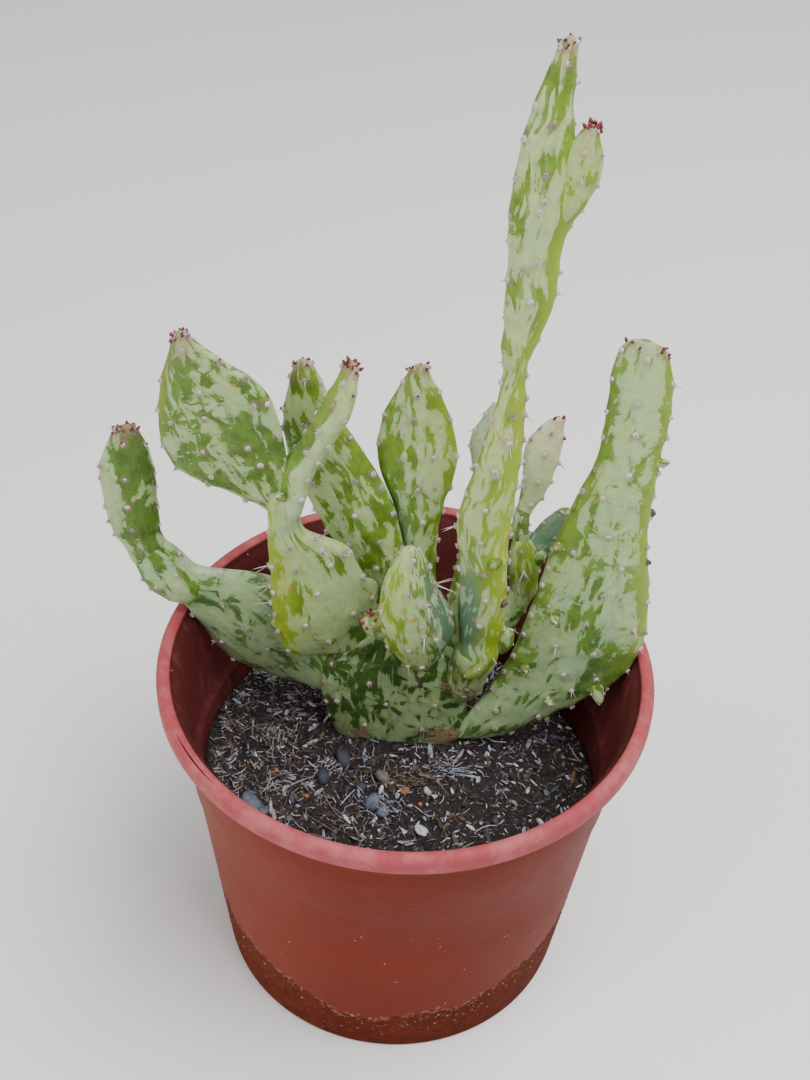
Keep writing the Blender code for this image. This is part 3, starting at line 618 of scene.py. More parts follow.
def skin_finish(settings):
    """Pale bloomy skin with green streaks that run along the pad and fan out of areoles."""
    f = Finish("cactus_skin")
    local = f.attribute("local")
    away = f.vector("SUBTRACT", local, f.attribute("centre"))
    distance = f.vector("LENGTH", away)
    ray = f.vector("NORMALIZE", away)
    green, yellow, blue = f.split(f.attribute("tint"))
    dark, cork, blush = f.split(f.attribute("age"))
    cream, fine, rays = f.split(f.attribute("grain"))

    # the streaks: long ones down the pad, and rays that fan out round each areole
    seed = f.vector("MULTIPLY", f.attribute("centre"), (0.37, 0.29, 0.41))
    sway = f.node("CombineXYZ", {0: f.scaled(f.noise(local, 0.035, 1.0), 16.0, -8.0)}).outputs[0]
    flow = f.vector("ADD", f.attribute("flow"), sway)
    long_way = f.noise(f.vector("MULTIPLY", flow, (0.21, 0.08, 0.21)), 1.0, 2.5, 0.5, 0.2)
    spread = f.vector("ADD", f.vector("MULTIPLY", ray, (1.5, 1.5, 1.5)), seed)
    spread = f.vector("ADD", spread, f.vector("MULTIPLY", away, (0.05, 0.05, 0.05)))
    fan = f.noise(spread, 1.0, 3.0, 0.6)
    near = f.maths("MULTIPLY", f.between(distance, 1.8, 4.2), f.between(distance, 14.0, 7.0))
    near = f.maths("MULTIPLY", near, f.between(f.noise(seed, 1.7, 0.0), 0.42, 0.56, 0.15, 1.0))
    field = f.blend(f.maths("MULTIPLY", near, rays), long_way, fan)
    field = f.blend(0.3, field, f.noise(local, 0.055, 2.0, 0.5, 0.3))
    thin = f.noise(f.vector("MULTIPLY", flow, (0.6, 0.09, 0.6)), 1.0, 2.0, 0.5, 0.2)
    thin = f.maths("SUBTRACT", thin, 0.5)
    feather = f.maths("MULTIPLY", thin, f.scaled(fine, 0.5, 0.16))
    value = f.maths("ADD", f.maths("ADD", field, green), feather)
    streak = f.between(value, 0.499, 0.511)
    faint = f.between(value, 0.43, 0.5, 0.0, 0.3)

    # colours of the ground and of the streaks
    mottle = f.noise(local, 0.28, 4.0, 0.6)
    ground = f.mix(f.between(mottle, 0.35, 0.7), settings.pale, GROUND_MOTTLE)
    drift = f.noise(local, 0.045, 2.0, 0.5)
    ground = f.mix(f.between(drift, 0.52, 0.66, 0.0, 0.4), ground, GROUND_BLUISH)
    ground = f.mix(f.between(drift, 0.48, 0.34, 0.0, 0.35), ground, GROUND_SUNNY)
    # cream, yellow, blue and dark shift the ground; some pads use them as painted light and painted
    # shade
    ground = f.mix(f.maths("MULTIPLY", cream, 0.85), ground, settings.cream)
    ground = f.mix(f.maths("MULTIPLY", yellow, 0.6, True), ground, GROUND_YELLOW)
    ground = f.mix(f.maths("MULTIPLY", blue, 0.6, True), ground, GROUND_BLUE)
    ground = f.mix(f.maths("MULTIPLY", dark, 0.8, True), ground, GROUND_OLD_AND_PAINTED_SHADE)
    ink = f.mix(f.between(f.noise(local, 0.16, 3.0), 0.4, 0.62), settings.green, settings.deep)
    ink = f.mix(f.maths("MULTIPLY", yellow, 0.9, True), ink, settings.yellow)
    ink = f.mix(f.maths("MULTIPLY", blue, blue, True), ink, settings.blue)
    ink = f.mix(f.maths("MULTIPLY", dark, 1.0, True), ink, settings.dark)
    light_line = f.maths("MULTIPLY", f.between(thin, 0.05, 0.16), f.scaled(fine, 0.4, 0.2))
    ink = f.mix(f.maths("MULTIPLY", light_line, f.between(value, 0.64, 0.5)), ink, ground)
    colour = f.mix(f.maths("MAXIMUM", streak, faint), ground, ink)

    # fine flecks, halos round the areoles, new growth, cork and small scars
    flecks = f.between(f.noise(local, 2.2, 2.0), 0.62, 0.74, 0.0, 0.3)
    colour = f.mix(flecks, colour, f.mix(0.5, colour, settings.deep))
    halo = f.maths("MULTIPLY", f.between(distance, 1.0, 1.4), f.between(distance, 2.6, 1.7))
    halo = f.maths("MULTIPLY", halo, f.scaled(blush, 0.4, 0.27))
    colour = f.mix(halo, colour, settings.blush)
    rosy = f.maths("MULTIPLY", blush, f.between(mottle, 0.3, 0.65, 0.35, 0.8), True)
    colour = f.mix(rosy, colour, settings.blush)
    rough_patch = f.noise(local, 0.45, 5.0, 0.7)
    corky = f.between(f.maths("ADD", cork, f.maths("MULTIPLY", rough_patch, 2.6)), 1.85, 2.0)
    bark = f.mix(f.between(f.noise(local, 1.3, 4.0, 0.7), 0.35, 0.7), settings.cork, BARK_RIDGE)
    colour = f.mix(corky, colour, bark)
    spot = f.cells(f.vector("ADD", local, (3.1, 5.7, 1.3)), 0.06)
    scar = f.between(spot, 0.075, 0.05)
    colour = f.mix(f.maths("MULTIPLY", scar, 0.8), colour, SCAR_TAN)

    pores = f.noise(local, 3.5, 2.0, 0.5)
    creases = f.noise(f.vector("MULTIPLY", local, (0.5, 0.16, 0.5)), 1.0, 4.0, 0.6)
    normal = f.bump(pores, 0.00006, 0.5)
    normal = f.bump(creases, 0.0011, 0.5, normal)
    normal = f.bump(f.maths("MULTIPLY", rough_patch, corky), 0.0012, 1.0, normal)
    gloss = f.blend(corky, f.between(mottle, 0.3, 0.7, 0.46, 0.58), 0.9)
    f.shader.inputs["Specular IOR Level"].default_value = 0.42
    return f.wear(colour, gloss, normal)


def tuft_finish(name, low, high, roughness=0.85):
    """Wool, cushions, bristles or leaves: a tone that varies from piece to piece."""
    f = Finish(name, roughness)
    tone = f.split(f.attribute("tone"))
    speckle = f.noise(f.place(), 900.0, 3.0, 0.6)
    share = f.maths("ADD", tone[0], f.scaled(speckle, 0.6, -0.3), True)
    return f.wear(f.mix(share, low, high), roughness, f.bump(speckle, 0.00012, 0.5))


def debris_finish(name, tones, roughness=0.85):
    """Loose bits: the attribute tone picks between the tones, and grain runs over them."""
    f = Finish(name, roughness)
    pick = f.split(f.attribute("tone"))[0]
    ramp = f.tree.nodes.new("ShaderNodeValToRGB")
    ramp.color_ramp.interpolation = "CONSTANT"
    elements = ramp.color_ramp.elements
    while len(elements) < len(tones):
        elements.new(0.5)
    for number, (element, tone) in enumerate(zip(elements, tones)):
        element.position = number / len(tones)
        element.color = (*tone, 1.0)
    f.feed(ramp.inputs[0], pick)
    grain = f.noise(f.place(), 650.0, 4.0, 0.65)
    colour = f.mix(f.between(grain, 0.35, 0.7, 0.0, 0.6), ramp.outputs[0], DEBRIS_GRIME)
    return f.wear(colour, roughness, f.bump(grain, 0.0003, 0.8))


def soil_finish(settings):
    """Damp peat with darker hollows and paler dry crumbs."""
    f = Finish("potting_soil", 0.9)
    place = f.place()
    lumps = f.noise(place, 260.0, 6.0, 0.7)
    crumbs = f.cells(place, 520.0)
    colour = f.mix(f.between(lumps, 0.45, 0.72), settings.peat, DRY_PEAT)
    colour = f.mix(f.between(crumbs, 0.25, 0.0, 0.0, 0.45), colour, DRY_CRUMB)
    grit = f.between(f.noise(place, 900.0, 3.0), 0.64, 0.76, 0.0, 0.6)
    colour = f.mix(grit, colour, PALE_GRIT)
    normal = f.bump(crumbs, 0.0012, 0.9, f.bump(lumps, 0.0022, 1.0))
    return f.wear(colour, f.between(lumps, 0.3, 0.7, 0.75, 1.0), normal)


def pot_finish(settings):
    """Red plastic with scuffs, dust inside and a soil stain round the foot, painted sheen on the lip,
    painted light towards the left and painted shade low on the wall.
    """
    f = Finish("pot_plastic")
    place = f.place()
    x, _, height = f.split(place)
    inside, lip, low_wall = f.split(f.attribute("zone"))
    broad = f.noise(place, 22.0, 4.0, 0.6)
    cloudy = f.noise(place, 90.0, 5.0, 0.65)
    grain = f.noise(place, 1400.0, 2.0, 0.5)
    turning = f.noise(f.vector("MULTIPLY", place, (14.0, 14.0, 900.0)), 1.0, 3.0, 0.6)

    wall = f.mix(f.between(broad, 0.35, 0.68), settings.wall, WALL_MOTTLE)
    # Darker towards the foot: painted shade.
    wall = f.mix(f.between(height, 0.10, 0.01, 0.0, 0.25), wall, WALL_PAINTED_SHADE)
    wall = f.mix(f.between(cloudy, 0.55, 0.78, 0.0, 0.06), wall, WALL_CLOUD)
    # Paler in patches towards the left side: painted light.
    painted_light_left = f.maths("MULTIPLY", f.between(x, 0.0, -0.085), f.between(broad, 0.2, 0.6, 0.3, 0.65))
    wall = f.mix(painted_light_left, wall, WALL_PAINTED_LIGHT)
    # the lip: its paler pinks are painted sheen
    lip_painted_sheen = f.mix(f.between(cloudy, 0.38, 0.7), settings.lip, LIP_SHEEN_CLOUD)
    dusty = f.mix(f.between(cloudy, 0.5, 0.72, 0.0, 0.4), settings.inside, INSIDE_DUST)
    streaks = f.noise(f.vector("MULTIPLY", place, (160.0, 160.0, 14.0)), 1.0, 3.0)
    dusty = f.mix(f.between(streaks, 0.56, 0.72, 0.0, 0.25), dusty, INSIDE_STREAK)
    colour = f.mix(inside, wall, dusty)
    colour = f.mix(lip, colour, lip_painted_sheen)
    colour = f.mix(f.between(turning, 0.55, 0.7, 0.0, 0.05), colour, SCUFF)

    # the soil stain round the foot, with a ragged top edge of pale dried crumbs
    ragged = f.noise(place, 120.0, 6.0, 0.75)
    wave = f.scaled(f.noise(place, 18.0, 2.0), 0.016, -0.008)
    reach = f.maths("ADD", wave, f.scaled(ragged, 0.022, settings.dirt_height - 0.011))
    reach = f.maths("ADD", reach, f.maths("MULTIPLY", f.maths("MULTIPLY", x, x), STAIN_CLIMB / MM))
    over = f.maths("SUBTRACT", reach, height)
    stain = f.maths("MULTIPLY", f.between(over, -0.0006, 0.0012), low_wall)
    tide = f.maths("MULTIPLY", f.between(over, -0.002, 0.0), f.between(over, 0.003, 0.0006))
    soiled = f.mix(f.between(ragged, 0.4, 0.65), settings.dirt, STAIN_THIN)
    colour = f.mix(f.maths("MULTIPLY", stain, f.between(cloudy, 0.3, 0.7, 0.45, 0.9)), colour, soiled)
    flaky = f.between(f.noise(place, 420.0, 3.0), 0.48, 0.6, 0.0, 0.75)
    tide = f.maths("MULTIPLY", f.maths("MULTIPLY", tide, low_wall), flaky)
    colour = f.mix(tide, colour, STAIN_TIDE)
    speck = f.between(f.cells(place, 170.0), 0.075, 0.03)
    sparse = f.maths("MULTIPLY", speck, f.between(f.noise(place, 60.0, 2.0), 0.5, 0.6))
    colour = f.mix(f.maths("MULTIPLY", sparse, 0.75), colour, CHALK_SPECK)

    normal = f.bump(grain, 0.00005, 0.5)
    normal = f.bump(turning, 0.00012, 0.6, normal)
    normal = f.bump(f.maths("MULTIPLY", ragged, stain), 0.0014, 0.9, normal)
    gloss = f.blend(stain, f.between(cloudy, 0.3, 0.7, 0.52, 0.58), 0.85)
    f.shader.inputs["Specular IOR Level"].default_value = 0.1
    return f.wear(colour, gloss, normal)


# --- shapes ------------------------------------------------------------------------------
def along(stations, t):
    """Read a smooth curve through evenly spaced stations, at t from 0 to 1."""
    last = len(stations) - 1
    index = min(int(t * last), last - 1)
    f = t * last - index
    before, a = stations[max(index - 1, 0)], stations[index]
    b, after = stations[index + 1], stations[min(index + 2, last)]
    bend = 2 * before - 5 * a + 4 * b - after
    return a + 0.5 * f * (b - before + f * (bend + f * (3 * (a - b) + after - before)))


def power(value, exponent):
    """A signed power."""
    return (1 if value >= 0 else -1) * abs(value) ** exponent


def section(angle):
    """The rounded section's across and outward shares at an angle."""
    return power(cos(angle), 2 / SECTION_SQUARENESS), power(sin(angle), 2 / SECTION_SQUARENESS)


class Pad:
    """A pad or bud: its frame, its surface and its areoles, in millimetres."""

    def __init__(self, name, spec):
        self.name = name
        self.spec = spec
        self.root = Vector(spec["root"])
        self.axis = Vector(spec["tip"]) - self.root
        self.length = self.axis.length
        self.ahead = self.axis.normalized()
        turn = radians(spec["facing"])
        out = Vector((sin(turn), -cos(turn), 0.0))
        self.out = (out - self.ahead * out.dot(self.ahead)).normalized()
        self.side = self.ahead.cross(self.out)
        self.lefts = [pair[0] for pair in spec["edges"]]
        self.rights = [pair[1] for pair in spec["edges"]]
        self.widest = max(a + b for a, b in zip(self.lefts, self.rights))
        carrier, distance = spec.get("runs_on_from", (name, 0.0))
        own = Random(carrier).uniform(-400, 400)
        self.shift = Vector((0.0, distance, 0.0)) + Vector((own, own, own))
        self.areoles = []

    def measures(self, t):
        """The middle, half width and half thickness at t."""
        end = max(0.0, 1 - abs(2 * t - 1) ** END_ROUNDNESS) ** (1 / END_ROUNDNESS)
        left, right = along(self.lefts, t), along(self.rights, t)
        lean, bulge = self.spec.get("bow", (0.0, 0.0))
        arch = 4 * t * (1 - t)
        middle = self.root + self.axis * t + self.side * (lean * arch + end * (right - left) / 2)
        middle += self.out * bulge * arch
        return middle, end * (right + left) / 2, end * along(self.spec["thick"], t)

    def point(self, t, angle, swell=-SKIN_INSET):
        """The skin at t along the pad and an angle round it, 0 being its right margin."""
        across, outward = section(angle)
        middle, half_width, half_thick = self.measures(t)
        middle = middle + self.ahead * swell * (2 * t - 1)
        return (middle + self.side * (half_width + swell) * across
                + self.out * (half_thick + swell) * outward)

    def normal(self, t, angle):
        """The direction straight out of the skin."""
        t = min(max(t, 0.02), 0.98)
        run = self.point(t + 0.015, angle) - self.point(t - 0.015, angle)
        turn = self.point(t, angle + 0.08) - self.point(t, angle - 0.08)
        out = turn.cross(run).normalized()
        return out if out.dot(self.point(t, angle) - self.measures(t)[0]) > 0 else -out

    def holds(self, point, margin=0.0):
        """True if the point lies inside the pad, by at least the margin."""
        t = (point - self.root).dot(self.ahead) / self.length
        if not 0.0 < t < 1.0:
            return False
        middle, half_width, half_thick = self.measures(t)
        off = point - middle
        across = off.dot(self.side) / max(half_width - margin, 0.1)
        outward = off.dot(self.out) / max(half_thick - margin, 0.1)
        return abs(across) ** SECTION_SQUARENESS + abs(outward) ** SECTION_SQUARENESS < 1.0

    def local(self, point):
        """The point in the pad's own frame, moved to the pad's own part of the patterns."""
        off = point - self.root
        return Vector((off.dot(self.side), off.dot(self.ahead), off.dot(self.out))) + self.shift

    def look(self, t, across):
        """The skin's tendencies at one place."""
        found = {**LOOKS, **self.spec.get("looks", {})}
        for which, at_across, at_along, wide, long, strength in self.spec.get("marks", ()):
            off = ((across - at_across) / wide) ** 2 + ((t - at_along) / long) ** 2
            found[which] += strength * exp(-off)
        return found


def bud_spec(root, tip, half_width, carrier):
    """A bud is a small round pad."""
    return dict(
        root=root, tip=tip, facing=0, joins=(carrier,), looks=BUD_LOOKS,
        edges=((0.8 * half_width,) * 2, (half_width,) * 2, (0.85 * half_width,) * 2),
        thick=(0.7 * half_width, 0.85 * half_width, 0.75 * half_width))


def add_areole(pad, everyone, t, angle, size, crown=False, spines=(0, 0.0)):
    """Give a pad an areole, unless another pad covers the place."""
    place, normal = pad.point(t, angle), pad.normal(t, angle)
    tip = place + normal * AREOLE_STAND
    if any(other is not pad and other.holds(tip, -AREOLE_DEPTH) for other in everyone):
        return
    over_soil = hypot(place.x, place.y) < SOIL_REACH
    if over_soil and place.z < soil_height(place.x, place.y) + SOIL_CLEARANCE:
        return
    pad.areoles.append(dict(
        place=place, normal=normal, size=size, t=t, crown=crown, spines=spines, pad=pad))


def angle_of(across, face):
    """The angle round the pad where its skin lies this far across, on the front or the back."""
    across = min(max(across, -1.0), 1.0)
    cosine = power(across, SECTION_SQUARENESS / 2)
    return face * atan2((1 - cosine * cosine) ** 0.5, cosine)


def place_areoles(pad, everyone):
    """Set a pad's areoles in staggered rows on both faces, and along its two margins."""
    rng = Random(pad.name + " areoles")
    spacing = min(WIDEST_SPACING, NARROWEST_SPACING + 0.1 * pad.length)
    size = 0.62 + 0.42 * min(1.0, pad.length / 90)
    places = []
    rows = max(2, round(pad.length / (0.82 * spacing)))
    for row in range(rows):
        t = (row + 0.7) / (rows + 0.3)
        count = max(1, round(2 * pad.measures(t)[1] / spacing))
        if row % 2 or count == 1:
            steps = [(i + 0.5) / count * 2 - 1 for i in range(count)]
        else:
            steps = [i / count * 2 - 1 for i in range(1, count)]
        places += [(t, a + rng.uniform(-0.14, 0.14), face) for a in steps for face in (1, -1)]
    pitches = max(3, round(pad.length / (0.66 * spacing)))
    for number in range(pitches):
        t = (number + 0.55) / pitches
        places += [(t, -0.96, 1), (t + 0.4 / pitches, 0.96, 1)]
    for t, across, face in places:
        at = min(0.985, t + rng.uniform(-0.2, 0.2) / rows)
        few = rng.random() < 0.2
        spines = (rng.choice((1, 1, 2)), rng.uniform(2.5, 5.5)) if few else (0, 0.0)
        varied = size * rng.uniform(0.82, 1.12)
        add_areole(pad, everyone, at, angle_of(across, face), varied, spines=spines)
    for number in range(CROWNS.get(pad.name, 0)):
        turn = number * GOLDEN_TURN
        at = 0.992 - 0.035 * (number / CROWNS[pad.name]) * min(1.0, 70 / pad.length)
        add_areole(pad, everyone, at, turn, size * 0.72, crown=True)
    for which, at, across, length, count in LONG_SPINES:
        if which == pad.name:
            add_areole(pad, everyone, at, angle_of(across, 1), size, spines=(count, length))


def bud_areoles(bud, everyone):
    """A bud has a woolly tip and a few small areoles in a spiral."""
    rng = Random(bud.name)
    for number in range(3):
        add_areole(bud, everyone, 0.5 + 0.15 * number, GOLDEN_TURN * number + rng.random(), 0.4)
    add_areole(bud, everyone, 0.99, 0.0, 0.6, crown=bud.name == "front_stub_bud")
    if bud.name == "front_stub_bud":
        for number in range(8):
            add_areole(bud, everyone, 0.975 - 0.02 * number, GOLDEN_TURN * number, 0.6, crown=True)


def make_plant():
    """Every pad and bud with its areoles."""
    made = {name: Pad(name, spec) for name, spec in PADS.items()}
    made.update({name: Pad(name, bud_spec(*bud)) for name, bud in BUDS.items()})
    everyone = list(made.values())
    for name, pad in made.items():
        if name in BUDS:
            bud_areoles(pad, everyone)
        else:
            place_areoles(pad, everyone)
    return made


def nearest_areoles(pad):
    """A search tree over a pad's areoles."""
    tree = KDTree(max(1, len(pad.areoles)))
    for number, areole in enumerate(pad.areoles):
        tree.insert(areole["place"], number)
    tree.balance()
    return tree


def store(mesh, name, vectors):
    """Keep one vector for each vertex on the mesh."""
    layer = mesh.attributes.new(name, "FLOAT_VECTOR", "POINT")
    layer.data.foreach_set("vector", [number for vector in vectors for number in vector])


def surface_tree(pad):
    """A coarse copy of a pad's skin, to measure distances from."""
    coarse = bmesh.new()
    bmesh.ops.create_uvsphere(coarse, u_segments=28, v_segments=28, radius=1.0)
    for vertex in coarse.verts:
        x, y, z = vertex.co
        vertex.co = pad.point((1 + z) / 2, atan2(-y, x))
    tree = BVHTree.FromBMesh(coarse)
    coarse.free()
    return tree


def neighbours(pad):
    """The pads that a pad has grown from or carries, with how far their fillets reach."""
    found = []
    for other in PLANT.values():
        if other.name in pad.spec["joins"] or pad.name in other.spec["joins"]:
            found.append((other, min(FILLET, 0.5 * min(pad.widest, other.widest))))
    return found


def fillet(point, trees):
    """How far a skin swells where it meets its neighbours."""
    swell = 0.0
    for tree, reach in trees:
        distance = tree.find_nearest(point)[3]
        swell = max(swell, reach / 4 * max(0.0, 1 - distance / reach) ** 2)
    return swell


def skin_mesh(pad, face_size):
    """A pad's skin: a sphere reshaped, gently uneven, with a bump under each areole."""
    girth = 2.0 * (pad.widest + max(pad.spec["thick"]))
    skin = bmesh.new()
    bmesh.ops.create_uvsphere(
        skin, u_segments=max(20, round(girth / face_size)),
        v_segments=max(16, round(1.25 * pad.length / face_size)), radius=1.0)
    places = []
    for vertex in skin.verts:
        x, y, z = vertex.co
        t, angle = (1 + z) / 2, atan2(-y, x)
        vertex.co = pad.point(t, angle)
        places.append((t, section(angle)[0]))
    skin.normal_update()
    tree = nearest_areoles(pad)
    touching = [(surface_tree(other), reach) for other, reach in neighbours(pad)]
    owns, flows, centres, tints, ages, grains = [], [], [], [], [], []
    for vertex, (t, across) in zip(skin.verts, places):
        flat = vertex.co.copy()
        normal = vertex.normal.copy()
        centre = pad.root
        swell = UNEVENNESS * noise.noise(flat * SWELL_SCALE + pad.shift) - UNEVENNESS / 2
        rise = swell + fillet(flat, touching)
        for place, number, distance in tree.find_n(flat, 4):
            areole = pad.areoles[number]
            if areole["normal"].dot(normal) > 0.0:
                centre = place
                rise += TUBERCLE_HEIGHT * areole["size"] * exp(-(distance / TUBERCLE_REACH) ** 2)
                break
        vertex.co = (flat + normal * rise) * MM
        looks = pad.look(t, across)
        own = pad.local(flat)
        owns.append(own)
        spread = 0.3 * pad.widest * across + 0.4 * (own.x - pad.shift.x)
        flows.append((spread + pad.shift.x, own.y, own.z))
        centres.append(pad.local(centre))
        tints.append((looks["green"], looks["yellow"], looks["blue"]))
        ages.append((looks["dark"], looks["cork"], looks["blush"]))
        grains.append((looks["cream"], looks["fine"], looks["rays"]))
    mesh = bpy.data.meshes.new(pad.name + "_skin")
    skin.to_mesh(mesh)
    skin.free()
    store(mesh, "local", owns)
    store(mesh, "flow", flows)
    store(mesh, "centre", centres)
    store(mesh, "tint", tints)
    store(mesh, "age", ages)
    store(mesh, "grain", grains)
    mesh.shade_smooth()
    return mesh


class Bits:
    """Many small closed shapes gathered into one mesh, each with its own tone."""

    def __init__(self):
        self.points, self.faces, self.tones = [], [], []

    def rings(self, centres, radii, sides, tone, flat=1.0):
        """A closed tube with pointed ends, through the centres."""
        run = (centres[-1] - centres[0]).normalized()
        across = run.orthogonal()
        across = (across - run * across.dot(run)).normalized()
        other = run.cross(across)
        start = len(self.points)
        self.points.append(centres[0])
        for centre, radius in zip(centres[1:-1], radii):
            for i in range(sides):
                angle = tau * i / sides
                upward = other * radius * flat * sin(angle)
                self.points.append(centre + across * radius * cos(angle) + upward)
        self.points.append(centres[-1])
        first, last = start + 1, len(self.points) - 1
        for i in range(sides):
            after = (i + 1) % sides
            self.faces.append((start, first + after, first + i))
            for ring in range(len(centres) - 3):
                low = first + ring * sides
                self.faces.append((low + i, low + after, low + sides + after, low + sides + i))
            top = last - sides
            self.faces.append((top + i, top + after, last))
        self.tones += [(tone, 0.0, 0.0)] * (len(self.points) - start)

    def spike(self, base, tip, radius, sides, tone, bend=None):
        """A thin cone whose foot is sunk a little."""
        foot = base - (tip - base).normalized() * 0.3 * MM
        middle = (base + tip) / 2 + (bend or Vector())
        self.rings([foot, base, middle, tip], [radius, radius * 0.6], sides, tone)

    def lump(self, template, matrix, tone, rng, rough):
        """A copy of a template's points and faces, moved and roughened."""
        start = len(self.points)
        for point in template[0]:
            self.points.append(matrix @ (point * (1 + rng.uniform(-rough, rough))))
        self.faces += [tuple(start + i for i in face) for face in template[1]]
        self.tones += [(tone, 0.0, 0.0)] * len(template[0])

    def finish(self, name, material, slot, smooth=True):
        """Make the piece, riding on the root."""
        mesh = bpy.data.meshes.new(name)
        mesh.from_pydata([tuple(p) for p in self.points], [], self.faces)
        mesh.validate()
        store(mesh, "tone", self.tones)
        if smooth:
            mesh.shade_smooth()
        mesh.materials.append(material)
        put(name, mesh, slot)


def put(name, mesh, slot, nodes=()):
    """Put a piece in the scene, on the root body."""
    piece = bpy.data.objects.new(name, mesh)
    bpy.context.scene.collection.objects.link(piece)
    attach(piece, "root")
    if nodes:
        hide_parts(*nodes)


def ball(subdivisions):
    """The points and faces of a small round template."""
    made = bmesh.new()
    bmesh.ops.create_icosphere(made, subdivisions=subdivisions, radius=1.0)
    template = [v.co.copy() for v in made.verts], [tuple(v.index for v in f.verts) for f in made.faces]
    made.free()
    return template


def facing_matrix(place, normal, size, spin):
    """A matrix that stands a template on a surface, with sizes along its own axes."""
    turn = normal.to_track_quat("Z", "Y").to_matrix().to_4x4()
    return (Matrix.Translation(place) @ turn @ Matrix.Rotation(spin, 4, "Z")
            @ Matrix.Diagonal((*size, 1.0)))


def tapered_wall(height):
    """The outer radius that the wall above the step would have at any height."""
    top = RIM_RADIUS - LIP_OVERHANG
    bottom = BASE_RADIUS + STEP_WIDTH
    return bottom + (top - bottom) * height / (POT_HEIGHT - LIP_DEPTH)


def outer_wall(height):
    return tapered_wall(height) - (0.0 if height > STEP_HEIGHT else STEP_WIDTH)


def inner_wall(height):
    return tapered_wall(height) - WALL - (0.0 if height > LEDGE_HEIGHT else LEDGE_WIDTH)


def arc(centre, radius, start, end, steps):
    """Points on a circle, from one angle to another in degrees."""
    angles = [radians(start + (end - start) * i / steps) for i in range(steps + 1)]
    return [(centre[0] + radius * cos(a), centre[1] + radius * sin(a)) for a in angles]


def pot_profile():
    """From the floor's centre up the inside, over the rolled lip and down the outside."""
    inner = RIM_RADIUS - LIP_WIDTH
    under_lip = POT_HEIGHT - LIP_DEPTH
    ledge_top = LEDGE_HEIGHT + LEDGE_SLOPE
    crown = LIP_WIDTH / 2
    inside = [(0.0, FLOOR), (inner_wall(0.0) - CORNER, FLOOR)]
    inside += arc((inner_wall(FLOOR + CORNER) - CORNER, FLOOR + CORNER), CORNER, -60, 0, 4)
    inside += [(inner_wall(h), h) for h in (*WALL_RINGS, LEDGE_HEIGHT - 1.2, LEDGE_HEIGHT - 0.4)]
    inside += [(inner_wall(LEDGE_HEIGHT) + 0.35, LEDGE_HEIGHT + 0.25)]
    inside += [(inner_wall(ledge_top) - 0.5, ledge_top - 0.5), (inner_wall(ledge_top), ledge_top + 0.4)]
    inside += [(inner_wall(under_lip), under_lip), (inner - 0.9, POT_HEIGHT - crown - 1.5)]
    lip = arc((inner + crown, POT_HEIGHT - crown), crown, 180, 0, 12)
    lip += arc((RIM_RADIUS - 1.1, under_lip + 1.1), 1.1, 0, -80, 4)
    outside = [(outer_wall(under_lip) + 0.6, under_lip), (outer_wall(under_lip), under_lip - 0.6)]
    outside += [(outer_wall(h), h) for h in (140.0, STEP_HEIGHT + 1.2)]
    outside += [(outer_wall(STEP_HEIGHT) + 0.25, STEP_HEIGHT + 0.2)]
    outside += [(outer_wall(STEP_HEIGHT), STEP_HEIGHT - 0.5)]
    outside += [(outer_wall(h), h) for h in (*reversed(WALL_RINGS), 4.0)]
    outside += arc((BASE_RADIUS - 1.5, 1.5), 1.5, 0, -90, 4) + [(0.0, 0.0)]
    return inside + lip + outside


def turned(name, profile, segments):
    """Spin a profile of (radius, height) points about the Z axis and keep the mesh."""
    mesh = bpy.data.meshes.new(name)
    points = [(radius * MM, 0.0, height * MM) for radius, height in profile]
    mesh.from_pydata(points, [(i, i + 1) for i in range(len(points) - 1)], [])
    made = bpy.data.objects.new(name, mesh)
    bpy.context.scene.collection.objects.link(made)
    screw = made.modifiers.new("turn", "SCREW")
    screw.axis = "Z"
    screw.steps = screw.render_steps = segments
    screw.use_merge_vertices = True
    screw.merge_threshold = 0.00005
    return made


def baked(made, name):
    """The mesh that an object's modifiers make, with the object removed."""
    depsgraph = bpy.context.evaluated_depsgraph_get()
    mesh = bpy.data.meshes.new_from_object(made.evaluated_get(depsgraph))
    bpy.data.objects.remove(made, do_unlink=True)
    mesh.name = name
    return mesh


def soil_height(x, y):
    """The soil's broad surface: mounded round the stems, sunk at the right of the back."""
    mound = SOIL_MOUND * exp(-(x * x + (y - MOUND_BACK) ** 2) / (2 * MOUND_SPREAD ** 2))
    towards_back_right = max(0.0, (x * cos(DIP_HEADING) + y * sin(DIP_HEADING)) / BASE_RADIUS)
    return SOIL_LEVEL + mound - SOIL_DIP * towards_back_right ** 2


def soil_surface(x, y):
    """The soil's height with its clods and crumbs."""
    clods = 2.0 * noise.noise(Vector((x, y, 0.0)) * 0.1)
    crumbs = 1.3 * noise.noise(Vector((x, y, 7.0)) * 0.27) + 0.6 * noise.noise(Vector((x, y, 3.0)) * 0.7)
    edge = max(0.0, hypot(x, y) - SOIL_EDGE) / EDGE_WIDTH
    return soil_height(x, y) - 0.4 + (clods + crumbs) - 1.2 * edge * edge


# --- operators ---------------------------------------------------------------------------
class CACTUS_OT_make_skin(bpy.types.Operator):
    """Make the variegated skin of every pad and bud"""
    bl_idname = "cactus.make_skin"
    bl_label = "Pads and buds"

    def execute(self, context):
        settings = context.scene.cactus_skin
        material = skin_finish(settings)
        slots = {part["node"]: part["material_slot"] for part in frame["record"]["subparts"]}
        for name, pad in PLANT.items():
            size = settings.face_size / MM * (BUD_FACE_SHARE if name in BUDS else 1.0)
            mesh = skin_mesh(pad, size)
            mesh.materials.append(material)
            put(name + "_skin", mesh, slots[name], [name])
        return {"FINISHED"}


